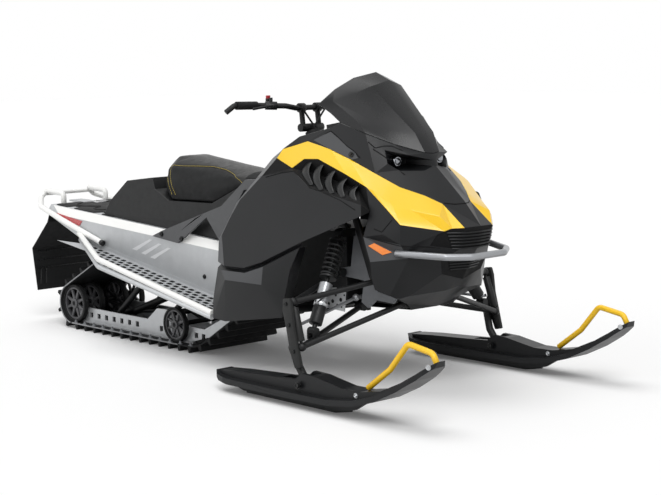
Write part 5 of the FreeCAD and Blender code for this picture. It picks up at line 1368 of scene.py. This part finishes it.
@dataclass
class TunnelTrim:
    """What is laid on the tunnel and its boards: strips, mat, blanks, slots and tubes, in millimetres."""

    skin: Skin
    rear_x: float = -1348.0
    rear_top: float = 585.0
    fall: float = 95.0
    length: float = 1578.0
    half_width: float = 205.0
    skin_gap: float = 0.2
    chamfer_width: float = 25.0
    chamfer_drop: float = 37.0
    strip: Spots = ((-1325, 0.03), (120, 0.03), (120, 0.97), (-1246, 0.97))
    bar: Spots = ((0, 0), (34, -4), (150, 52), (130, 54))
    bar_starts: Spots = ((-672, 428), (-606, 415), (-540, 402))
    reflector: Spots = ((-1268, 552), (-1055, 526), (-1077, 503), (-1170, 520))
    mat_edge: Spots = ((-1326, 150), (-1312, 172), (-1232, 172), (-1224, 128), (-1176, 128), (-1168, 172),
                       (-1012, 172), (-1004, 128), (-956, 128), (-948, 172), (-860, 172))
    mat_lift: float = 0.3
    mat_thickness: float = 4.0
    on_mat: float = 4.5
    rib_runs: Spots = ((-1290, -1140), (-1140, -1010), (-1010, -880))
    label: Spots = ((-1312, 20), (-1312, 104), (-1258, 104), (-1258, 20))
    oval_middle: Tuple[float, float] = (-1160, 76)
    oval_half: Tuple[float, float] = (26, 36)
    oval_corners: int = 28
    slot_pitch: int = 44
    slot_rows: Tuple[int, ...] = (236, 268, 300, 332, 364)
    slot_margin: float = 26.0
    hole: Spots = ((-14, -8), (-10, -11), (10, -11), (14, -8), (14, 8), (10, 11), (-10, 11), (-14, 8))
    tooth: Spots = ((-5, -0.5), (5, -0.5), (3, 7), (0, 5), (-3, 7))
    tube_bends: Tuple[Place, ...] = ((-1070, 215, 468), (-666, 395, 400), (120, 395, 250))
    tube_stops: int = 6
    groove_heights: Tuple[int, ...] = (345, 300, 262)
    pocket_sides: Tuple[int, ...] = (-150, -120)

    def top(self, x: float) -> float:
        """Returns the height of the tunnel's top at a place along it."""
        return self.rear_top - self.fall * (x - self.rear_x) / self.length

    def on_chamfer(self, x: float, share: float, side: Side) -> Vector:
        """Returns a place on the tunnel's slanted edge, a share of the way down it."""
        out = self.half_width - self.chamfer_width * (1 - share)
        return side.at(x, out, self.top(x) - self.chamfer_drop * share)

    def on_deck(self, x: float, y: float, lift: float) -> Vector:
        """Returns a place over the tunnel's top."""
        return mm(x, y, self.top(x) + lift)

    def stripes(self, side: Side) -> None:
        """Lays the white strip on the slanted edge, the bars, the long reflector and the tube's cap.

        Args:
            side: the half of the machine.
        """
        wall = self.half_width + self.skin_gap
        slant = Vector((0, side.value * self.chamfer_drop, self.chamfer_width)).normalized()
        corners = [self.on_chamfer(x, share, side) + slant * 0.0003 for x, share in self.strip]
        finished(plate(f"edge_strip_{side.word}", corners, slant * 0.0008), WHITE_TUBE)
        bars = [plate("bar", [side.at(x + dx, wall, z + dz) for dx, dz in self.bar], side.out * 0.0007)
                for x, z in self.bar_starts]
        finished(joined(f"side_bars_{side.word}", bars), LIGHT_PRINT)
        lens = plate(f"long_reflector_{side.word}", [side.at(x, wall, z) for x, z in self.reflector],
                     side.out * 0.003)
        finished(shaped(lens, 0.0005, 1), RED_LENS, replaces=["tail_reflectors"])
        cap = rod(f"bumper_cap_{side.word}", side.at(-894, 218, 442), side.at(-876, 218, 436), 0.0135)
        finished(shaped(cap, 0.002), GLOSS_BLACK)

    def mat(self) -> None:
        """Lays the ribbed mat behind the seat, cut out round the rack's holes, with its two blanks."""
        outline = [self.on_deck(x, -y, self.mat_lift) for x, y in self.mat_edge]
        outline += [self.on_deck(x, y, self.mat_lift) for x, y in reversed(self.mat_edge)]
        sheet = shaped(plate("deck_mat", outline, mm(0, 0, self.mat_thickness)), 0.0012)
        ribs = []
        for side in Side:
            for start, end in self.rib_runs:
                bends = ((start, 40), ((start + end) / 2, 116), (end, 40))
                line = [self.on_deck(x, side.value * y, self.on_mat) for x, y in bends]
                ribs.append(tube("rib", line, 0.004, 2))
        finished(joined("deck_mat", (sheet, *ribs)), RUBBER)
        (middle_x, middle_y), (half_x, half_y) = self.oval_middle, self.oval_half
        oval = [(middle_x + half_x * math.cos(a), middle_y + half_y * math.sin(a))
                for a in (TURN * i / self.oval_corners for i in range(self.oval_corners))]
        for name, spots, finish in (("blank_label", self.label, LIGHT_PRINT),
                                    ("blank_oval", oval, WHITE_TUBE)):
            corners = [self.on_deck(x, y, self.on_mat) for x, y in spots]
            finished(plate(name, corners, mm(0, 0, 0.6)), finish)

    def board_edge(self, x: float) -> float:
        """Returns how far out the board's tube lies at a place along it."""
        (x0, out0, _), (x1, out1, _), _ = self.tube_bends
        return min(out1, out0 + (x - x0) * (out1 - out0) / (x1 - x0))

    def boards(self, side: Side) -> None:
        """Cuts the slots in the board as near-black plates of painted shade, stands its teeth and puts the
        white tube on its edge.

        Args:
            side: the half of the machine.
        """
        slots, teeth = [], []
        half = self.slot_pitch // 2
        for x in range(-960, 70, self.slot_pitch):
            for row, out in enumerate(self.slot_rows):
                if out > self.board_edge(x) - self.slot_margin:
                    continue
                for places, along, sunk in ((slots, x + half * (row % 2), 0.0004),
                                            (teeth, x + half * (row % 2) + half, 0.0)):
                    place, normal = self.skin.meet(["running_boards"], side.at(along, out, 900), -UP)
                    places.append(Matrix.Translation(place - normal * sunk) @ turned(normal, FORWARD))
        hole = plate("hole", [mm(x, y, 0) for x, y in self.hole], mm(0, 0, 0.9))
        # Each slot is a thin near-black plate: painted shade where the board is cut through.
        finished(spread(hole, f"board_slots_{side.word}", slots), JOINT_AND_SHADE_BLACK)
        tooth = plate("tooth", [mm(x, 0, z) for x, z in self.tooth], mm(0, 1.6, 0))
        finished(spread(tooth, f"board_teeth_{side.word}", teeth), SILVER_SHEET)
        bends = [side.at(*bend) for bend in self.tube_bends]
        line = [start.lerp(end, i / self.tube_stops) for start, end in zip(bends, bends[1:])
                for i in range(self.tube_stops)] + bends[-1:]
        finished(tube(f"board_tube_{side.word}", line, 0.0124, 6, smooth=False), WHITE_TUBE)

    def flap(self) -> None:
        """Presses the long grooves and the pocket into the snow flap."""
        grooves = [(3, [(y, z) for y in range(-168, 169, 24)]) for z in self.groove_heights]
        pocket = [(4, [(y, z) for z in range(180, 256, 15)]) for y in self.pocket_sides]
        lines = []
        for radius, spots in grooves + pocket:
            path = [self.skin.meet(["snow_flap"], mm(-1200, y, z), -FORWARD)[0] for y, z in spots]
            lines.append(tube("groove", path, radius * MM, 2, smooth=False))
        finished(joined("flap_grooves", lines), GLOSS_BLACK)

    def build(self) -> None:
        """Makes all the trim of the tunnel."""
        for side in Side:
            self.stripes(side)
            self.boards(side)
        self.mat()
        self.flap()


@dataclass
class TrackTrim:
    """The track's guide clips and the pale edge of its belt, in millimetres."""

    pitch: float = 72.6
    clips: int = 13
    first_clip: Place = (-1160, 186, 31)
    clip: Spots = ((-13, -4), (13, -4), (13, 4), (-13, 4))
    horn: Spots = ((-7, 3.5), (7, 3.5), (3, 15), (-3, 15))
    edge_out: float = 190.6
    rear_wheel: Place = (-1187, 121, 93)
    upper_wheel: Place = (-840, 352, 53)
    lower_stops: int = 10

    def round_wheel(self, wheel: Place, angle: float, side: Side) -> Vector:
        """Finds a place on the belt's edge where it goes round a wheel.

        Args:
            wheel: its middle's X and Z, and the belt's radius round it.
            angle: where on the wheel, in degrees from the front over the top.
            side: the half of the machine.

        Returns:
            The place, in metres.
        """
        x, z, radius = wheel
        return side.at(x + radius * math.cos(math.radians(angle)), self.edge_out,
                       z + radius * math.sin(math.radians(angle)))

    def build(self) -> None:
        """Sets the clips on the lower run and draws the belt's edges."""
        clip = shaped(plate("clip", [mm(x, y, 0) for x, y in self.clip], mm(0, 0, 4)), 0.0008, 1)
        horn = plate("horn", [mm(x, -3, z) for x, z in self.horn], mm(0, 6, 0))
        x, out, z = self.first_clip
        places = [Matrix.Translation(side.at(x + self.pitch * i, out, z))
                  for i in range(self.clips) for side in Side]
        finished(spread(joined("clip", (horn, clip)), "track_clips", places), CAST_GREY)
        for side in Side:
            path = [self.round_wheel(self.rear_wheel, angle, side) for angle in range(262, 117, -8)]
            path.append(self.round_wheel(self.upper_wheel, 118, side))
            lower = [side.at(self.rear_wheel[0] + 90 * i, self.edge_out, 28.5)
                     for i in range(self.lower_stops)]
            lines = [tube("edge", line, 0.003, 2, smooth=False) for line in (path, lower)]
            finished(joined(f"belt_edge_{side.word}", lines), BELT_EDGE)


@dataclass
class FrontEnd:
    """The suspension bay and what turns in it, outlines in millimetres and the castings' box in metres."""

    shock_foot: Place = (812, 475, 270)
    shock_top: Place = (740, 260.5, 615)
    bright_band: Tuple[float, float] = (0.27, 0.35)
    cast_from: float = 0.730
    cast_heights: Tuple[float, float] = (0.27, 0.575)
    cast_out: float = 0.13
    web: Spots = ((752, 398), (786, 402), (797, 372), (806, 300), (822, 240), (846, 150), (812, 142),
                  (786, 200), (766, 290), (748, 352))
    web_out: float = 556.0
    web_thickness: float = 16.0
    web_bolts: Spots = ((769, 380), (784, 302), (808, 205))
    sheet: Spots = ((583, 300), (690, 295), (697, 372), (640, 386), (588, 380))
    sheet_out: float = 191.5
    drills: Tuple[Place, ...] = ((600, 318, 6), (622, 330, 8), (648, 318, 5), (668, 340, 8), (640, 356, 6),
                                 (610, 360, 7), (672, 312, 4), (655, 372, 4), (688, 360, 4))
    post: Spots = ((760, 690), (792, 690), (898, 440), (868, 430))
    post_out: float = 214.0

    def castings(self) -> None:
        """Gives the frame its light castings and leaves the rest of it black."""
        looks = panel_copy("front_frame", "front_frame_looks", 25, 0.0012)
        for finish in (BLACK_PAINT, CAST_GREY):
            looks.data.materials.append(finish.material())
        low, high = self.cast_heights
        for face in looks.data.polygons:
            at = face.center
            cast = at.x > self.cast_from and low < at.z < high and abs(at.y) > self.cast_out
            face.material_index = int(cast)
        finished(looks, BLACK_PAINT, replaces=["front_frame"])

    def shocks(self) -> None:
        """Gives the dampers a black fork at their foot and a bright collar above it."""
        dampers = panel_copy("shocks", "shock_looks", 25, 0.0008)
        for finish in (BLACK_PAINT, SILVER_TUBE):
            dampers.data.materials.append(finish.material())
        low, high = self.bright_band
        for face in dampers.data.polygons:
            side = Side.LEFT if face.center.y > 0 else Side.RIGHT
            foot, top = side.at(*self.shock_foot), side.at(*self.shock_top)
            along = (face.center - foot).dot(top - foot) / (top - foot).length_squared
            face.material_index = int(low < along < high)
        finished(dampers, BLACK_PAINT, replaces=["shocks"])
        for side in Side:
            foot, top = side.at(*self.shock_foot), side.at(*self.shock_top)
            for name, start, end, radius, finish, slot in (
                    ("damper_sleeve", 0.07, 0.25, 0.0255, BLACK_PAINT, Slot.BLACK_FRAME),
                    ("damper_collar", 0.25, 0.29, 0.0275, STEEL, Slot.STEEL)):
                band = rod(f"{name}_{side.word}", foot.lerp(top, start), foot.lerp(top, end), radius, 32)
                finished(shaped(band, 0.003), finish)

    def knuckle(self, side: Side) -> None:
        """Stands the wide cast web and its bolts on the outside of a knuckle.

        Args:
            side: the half of the machine.
        """
        body = f"knuckle_{side.word}"
        outline = [side.at(x, self.web_out, z) for x, z in self.web]
        web = plate(f"knuckle_web_{side.word}", outline, side.out * self.web_thickness * MM)
        finished(shaped(web, 0.004), DARK_CAST, body)
        face = self.web_out + self.web_thickness - 0.2
        heads = [Matrix.Translation(side.at(x, face, z)) @ turned(side.out) for x, z in self.web_bolts]
        bolts = spread(bolt(0.007, 0.006), f"knuckle_bolts_{side.word}", heads)
        finished(bolts, GLOSS_BLACK, body)

    def plates(self, side: Side) -> None:
        """Sets the drilled plate beside the engine and the dark post ahead of it.

        Args:
            side: the half of the machine.
        """
        outline = [side.at(x, self.sheet_out, z) for x, z in self.sheet]
        sheet = shaped(plate(f"drilled_plate_{side.word}", outline, side.out * 0.002), 0.0006, 1)
        finished(sheet, SILVER_SHEET)
        back, front = self.sheet_out + 1.9, self.sheet_out + 2.6
        # Each hole is a near-black disc: painted shade where the plate is drilled through.
        discs = [rod("drill", side.at(x, back, z), side.at(x, front, z), r * MM, 16) for x, z, r in self.drills]
        finished(joined(f"plate_holes_{side.word}", discs), JOINT_AND_SHADE_BLACK)
        post = plate(f"side_post_{side.word}", [side.at(x, self.post_out, z) for x, z in self.post],
                     side.out * 0.014)
        finished(shaped(post, 0.003), BLACK_PAINT)

    def build(self) -> None:
        """Makes the front end's looks."""
        self.castings()
        self.shocks()
        for side in Side:
            self.plates(side)
            self.knuckle(side)


@dataclass
class Cockpit:
    """The stop button on the handlebar and its base."""

    middle: Tuple[float, float] = (230, -170)

    def build(self) -> None:
        """Stands the button in its base."""
        x, y = self.middle
        for name, low, high, radius, rounding, finish, slot in (
                ("stop_button_base", 1104, 1116, 0.011, 0.0015, GLOSS_BLACK, Slot.BLACK_BODY),
                ("stop_button", 1115, 1128, 0.0095, 0.002, RED_PLASTIC, Slot.RED_LENS)):
            piece = shaped(rod(name, mm(x, y, low), mm(x, y, high), radius), rounding)
            finished(piece, finish, "steering")


@dataclass
class Ski:
    """The grooves pressed along a ski's sides."""

    skin: Skin
    groove_half: float = 0.0028
    flatness: float = 0.1
    grooves: Tuple[Spots, ...] = (((504, 71), (592, 70), (707, 66), (845, 66), (950, 68), (1000, 68)),
                                  ((560, 56), (700, 45), (900, 40), (1010, 40), (1034, 54)))
    groove_stops: int = 4

    def groove(self, side: Side, out: int, line: Spots) -> bpy.types.Object:
        """Lays one groove on the side of a ski as a near-black line of painted shade, pressed flat so that the
        ski grows no wider.

        Args:
            side: which ski.
            out: 1 for the ski's outer side and -1 for its inner side.
            line: its places along X and Z.

        Returns:
            The line's object.
        """
        path = []
        for (x0, z0), (x1, z1) in zip(line, line[1:]):
            for share in (stop / self.groove_stops for stop in range(self.groove_stops + 1)):
                start = side.at(x0 + (x1 - x0) * share, SKI_MIDDLE + out * STAND_OFF, z0 + (z1 - z0) * share)
                path.append(self.skin.meet([f"ski_{side.word}"], start, -side.out * out)[0])
        bead = tube("bead", path, self.groove_half, 2, smooth=False)
        wall = path[0].y
        level = wall - side.value * out * self.groove_half * self.flatness * 0.95
        for vertex in bead.data.vertices:
            vertex.co.y = level + (vertex.co.y - wall) * self.flatness
        return bead

    def build(self) -> None:
        """Draws the grooves on both skis."""
        for side in Side:
            lines = [self.groove(side, out, line) for line in self.grooves for out in (1, -1)]
            # The grooves are near-black: painted shade in the creases.
            finished(joined(f"ski_grooves_{side.word}", lines), JOINT_AND_SHADE_BLACK,
                     f"front_ski_{side.word}")


@dataclass
class Fasteners:
    """Bolts that hold the frame, the tunnel and the skis, in millimetres."""

    skin: Skin
    beside: float = 400.0
    strut_spots: Spots = ((-434, 515), (-293, 505))
    tunnel_spots: Spots = ((-159, 352), (-62, 262))
    handle_spots: Spots = ((1140, 91.5), (1492, 242))
    pivot_spots: Spots = ((845.2, 86),)

    def row(self, name: str, node: str, starts: Sequence[Vector], way: Vector, size: Tuple[float, float],
            finish: Finish, slot: Slot, body: str = ROOT) -> None:
        """Sets bolts where lines from the starts meet the CAD surface.

        Args:
            name: the piece's name.
            node: the CAD node that takes the bolts.
            starts: where the lines start.
            way: the direction of the lines.
            size: the heads' radius and height, in metres.
            finish: the bolts' finish.
            slot: their material slot; not used.
            body: the body they ride on.
        """
        places = []
        for start in starts:
            place, normal = self.skin.meet([node], start, way)
            places.append(Matrix.Translation(place - normal * 0.0002) @ turned(normal))
        finished(spread(bolt(*size), name, places), finish, body)

    def build(self) -> None:
        """Sets all the bolts."""
        for side in Side:
            for name, node, spots, size, slot in (
                    ("strut_bolts", "upper_frame", self.strut_spots, (0.0095, 0.007), Slot.BLACK_FRAME),
                    ("tunnel_bolts", "tunnel", self.tunnel_spots, (0.008, 0.006), Slot.TUNNEL_METAL)):
                starts = [side.at(x, self.beside, z) for x, z in spots]
                self.row(f"{name}_{side.word}", node, starts, -side.out, size, GLOSS_BLACK, slot)
        for side in Side:
            for where, out in (("outer", 1), ("inner", -1)):
                for name, spots, size, finish in (
                        ("ski_bolts", self.handle_spots, (0.0075, 0.005), STEEL),
                        ("ski_pivot", self.pivot_spots, (0.011, 0.008), GLOSS_BLACK)):
                    starts = [side.at(x, SKI_MIDDLE + out * STAND_OFF, z) for x, z in spots]
                    self.row(f"{name}_{side.word}_{where}", f"ski_{side.word}", starts, -side.out * out, size,
                             finish, Slot.STEEL, f"front_ski_{side.word}")


# ---- Studio


@dataclass
class Studio:
    """Floor, light and the camera at the photograph's place."""

    azimuth: float = 46.584
    elevation: float = 7.183
    roll: float = -0.632
    focal_px: float = 1603.785
    floor_size: float = 60.0
    floor_colour: Tuple[float, float, float, float] = (0.9, 0.9, 0.9, 1)
    floor_glow: float = 0.07
    world_level: float = 0.32
    suns: Tuple[Tuple[str, Place, float, float], ...] = (("key_light", (3.5, -3.0, 4.5), 1.6, 30),
                                                         ("top_light", (-1.0, -0.5, 5.0), 1.05, 45),
                                                         ("side_light", (-2.0, -5.0, 1.6), 0.5, 50))

    def camera(self) -> None:
        """Sets the camera where the photograph was taken from."""
        az, el, roll = (math.radians(a) for a in (self.azimuth, self.elevation, self.roll))
        back = Vector((math.sin(az) * math.cos(el), -math.cos(az) * math.cos(el), math.sin(el)))
        right = Vector((math.cos(az), math.sin(az), 0))
        up = back.cross(right)
        x = right * math.cos(roll) + up * math.sin(roll)
        y = up * math.cos(roll) - right * math.sin(roll)
        bpy.ops.object.camera_add()
        camera = bpy.context.object
        camera.matrix_world = Matrix.Translation(EYE) @ Matrix((x, y, back)).transposed().to_4x4()
        camera.data.sensor_width = SENSOR_WIDTH
        camera.data.lens = self.focal_px * SENSOR_WIDTH / IMAGE_WIDTH
        bpy.context.scene.camera = camera

    def seen(self, tree: bpy.types.NodeTree, hidden: float, shown: float) -> bpy.types.NodeSocket:
        """Gives a strength to rays that show the background and another to all the rest.

        Args:
            tree: the tree that it is used in.
            hidden: the strength as light on the machine.
            shown: the strength to the eye, in reflections and through glass.

        Returns:
            The strength's socket.
        """
        path = add_node(tree, "ShaderNodeLightPath")
        shows = path.outputs["Is Camera Ray"]
        for kind in ("Is Glossy Ray", "Is Transmission Ray"):
            shows = add_node(tree, "ShaderNodeMath", {0: shows, 1: path.outputs[kind]},
                             operation="MAXIMUM").outputs[0]
        level = add_node(tree, "ShaderNodeMapRange", {"Value": shows, "To Min": hidden, "To Max": shown})
        return level.outputs[0]

    def floor(self) -> None:
        """Lays the pale floor that takes the shadow."""
        bpy.ops.mesh.primitive_plane_add(size=self.floor_size)
        floor = named(bpy.context.object, "studio_floor")
        material = bpy.data.materials.new("pale_floor")
        material.use_nodes = True
        tree = material.node_tree
        tree.nodes.clear()
        matt = add_node(tree, "ShaderNodeBsdfDiffuse", {"Color": self.floor_colour})
        glow = add_node(tree, "ShaderNodeEmission", {"Strength": self.seen(tree, 0.0, self.floor_glow)})
        both = add_node(tree, "ShaderNodeAddShader", {0: matt.outputs[0], 1: glow.outputs[0]})
        add_node(tree, "ShaderNodeOutputMaterial", {"Surface": both.outputs[0]})
        floor.data.materials.append(material)

    def world(self) -> None:
        """Makes the background white to the eye and a soft grey to everything else."""
        world = bpy.context.scene.world or bpy.data.worlds.new("studio")
        bpy.context.scene.world = world
        world.use_nodes = True
        tree = world.node_tree
        tree.nodes.clear()
        light = add_node(tree, "ShaderNodeBackground", {
            "Color": (1, 1, 1, 1), "Strength": self.seen(tree, self.world_level, 1.0)})
        add_node(tree, "ShaderNodeOutputWorld", {"Surface": light.outputs[0]})

    def sun(self, name: str, place: Place, strength: float, spread_deg: float) -> None:
        """Sets a broad even light that shines on the machine and on the whole floor alike.

        Args:
            name: the light's name.
            place: where it comes from, seen from the machine, in metres.
            strength: its strength.
            spread_deg: how wide it looks, which makes the shadows soft.
        """
        bpy.ops.object.light_add(type="SUN", location=place)
        light = bpy.context.object
        light.name = name
        light.data.energy = strength
        light.data.angle = math.radians(spread_deg)
        light.rotation_euler = (-Vector(place)).to_track_quat("-Z", "Y").to_euler()

    def build(self) -> None:
        """Sets up the whole studio."""
        bpy.context.scene.view_settings.view_transform = "Standard"
        self.camera()
        self.floor()
        self.world()
        for sun in self.suns:
            self.sun(*sun)


def main() -> None:
    """Builds the machine's looks in order and reports each piece."""
    logging.basicConfig(level=logging.INFO)
    skin = Skin()
    for node, (finish, rounding) in NODE_FINISHES.items():
        dress(node, finish, rounding)
    for part in (Bodywork(skin), Seat(), Undercarriage(), TunnelTrim(skin), TrackTrim(), FrontEnd(),
                 Cockpit(), Ski(skin), Fasteners(skin), Studio()):
        known = set(bpy.data.objects.keys())
        part.build()
        for name in sorted(set(bpy.data.objects.keys()) - known):
            log.info("%s: %s", type(part).__name__, name)


if __name__ == "__main__":
    main()
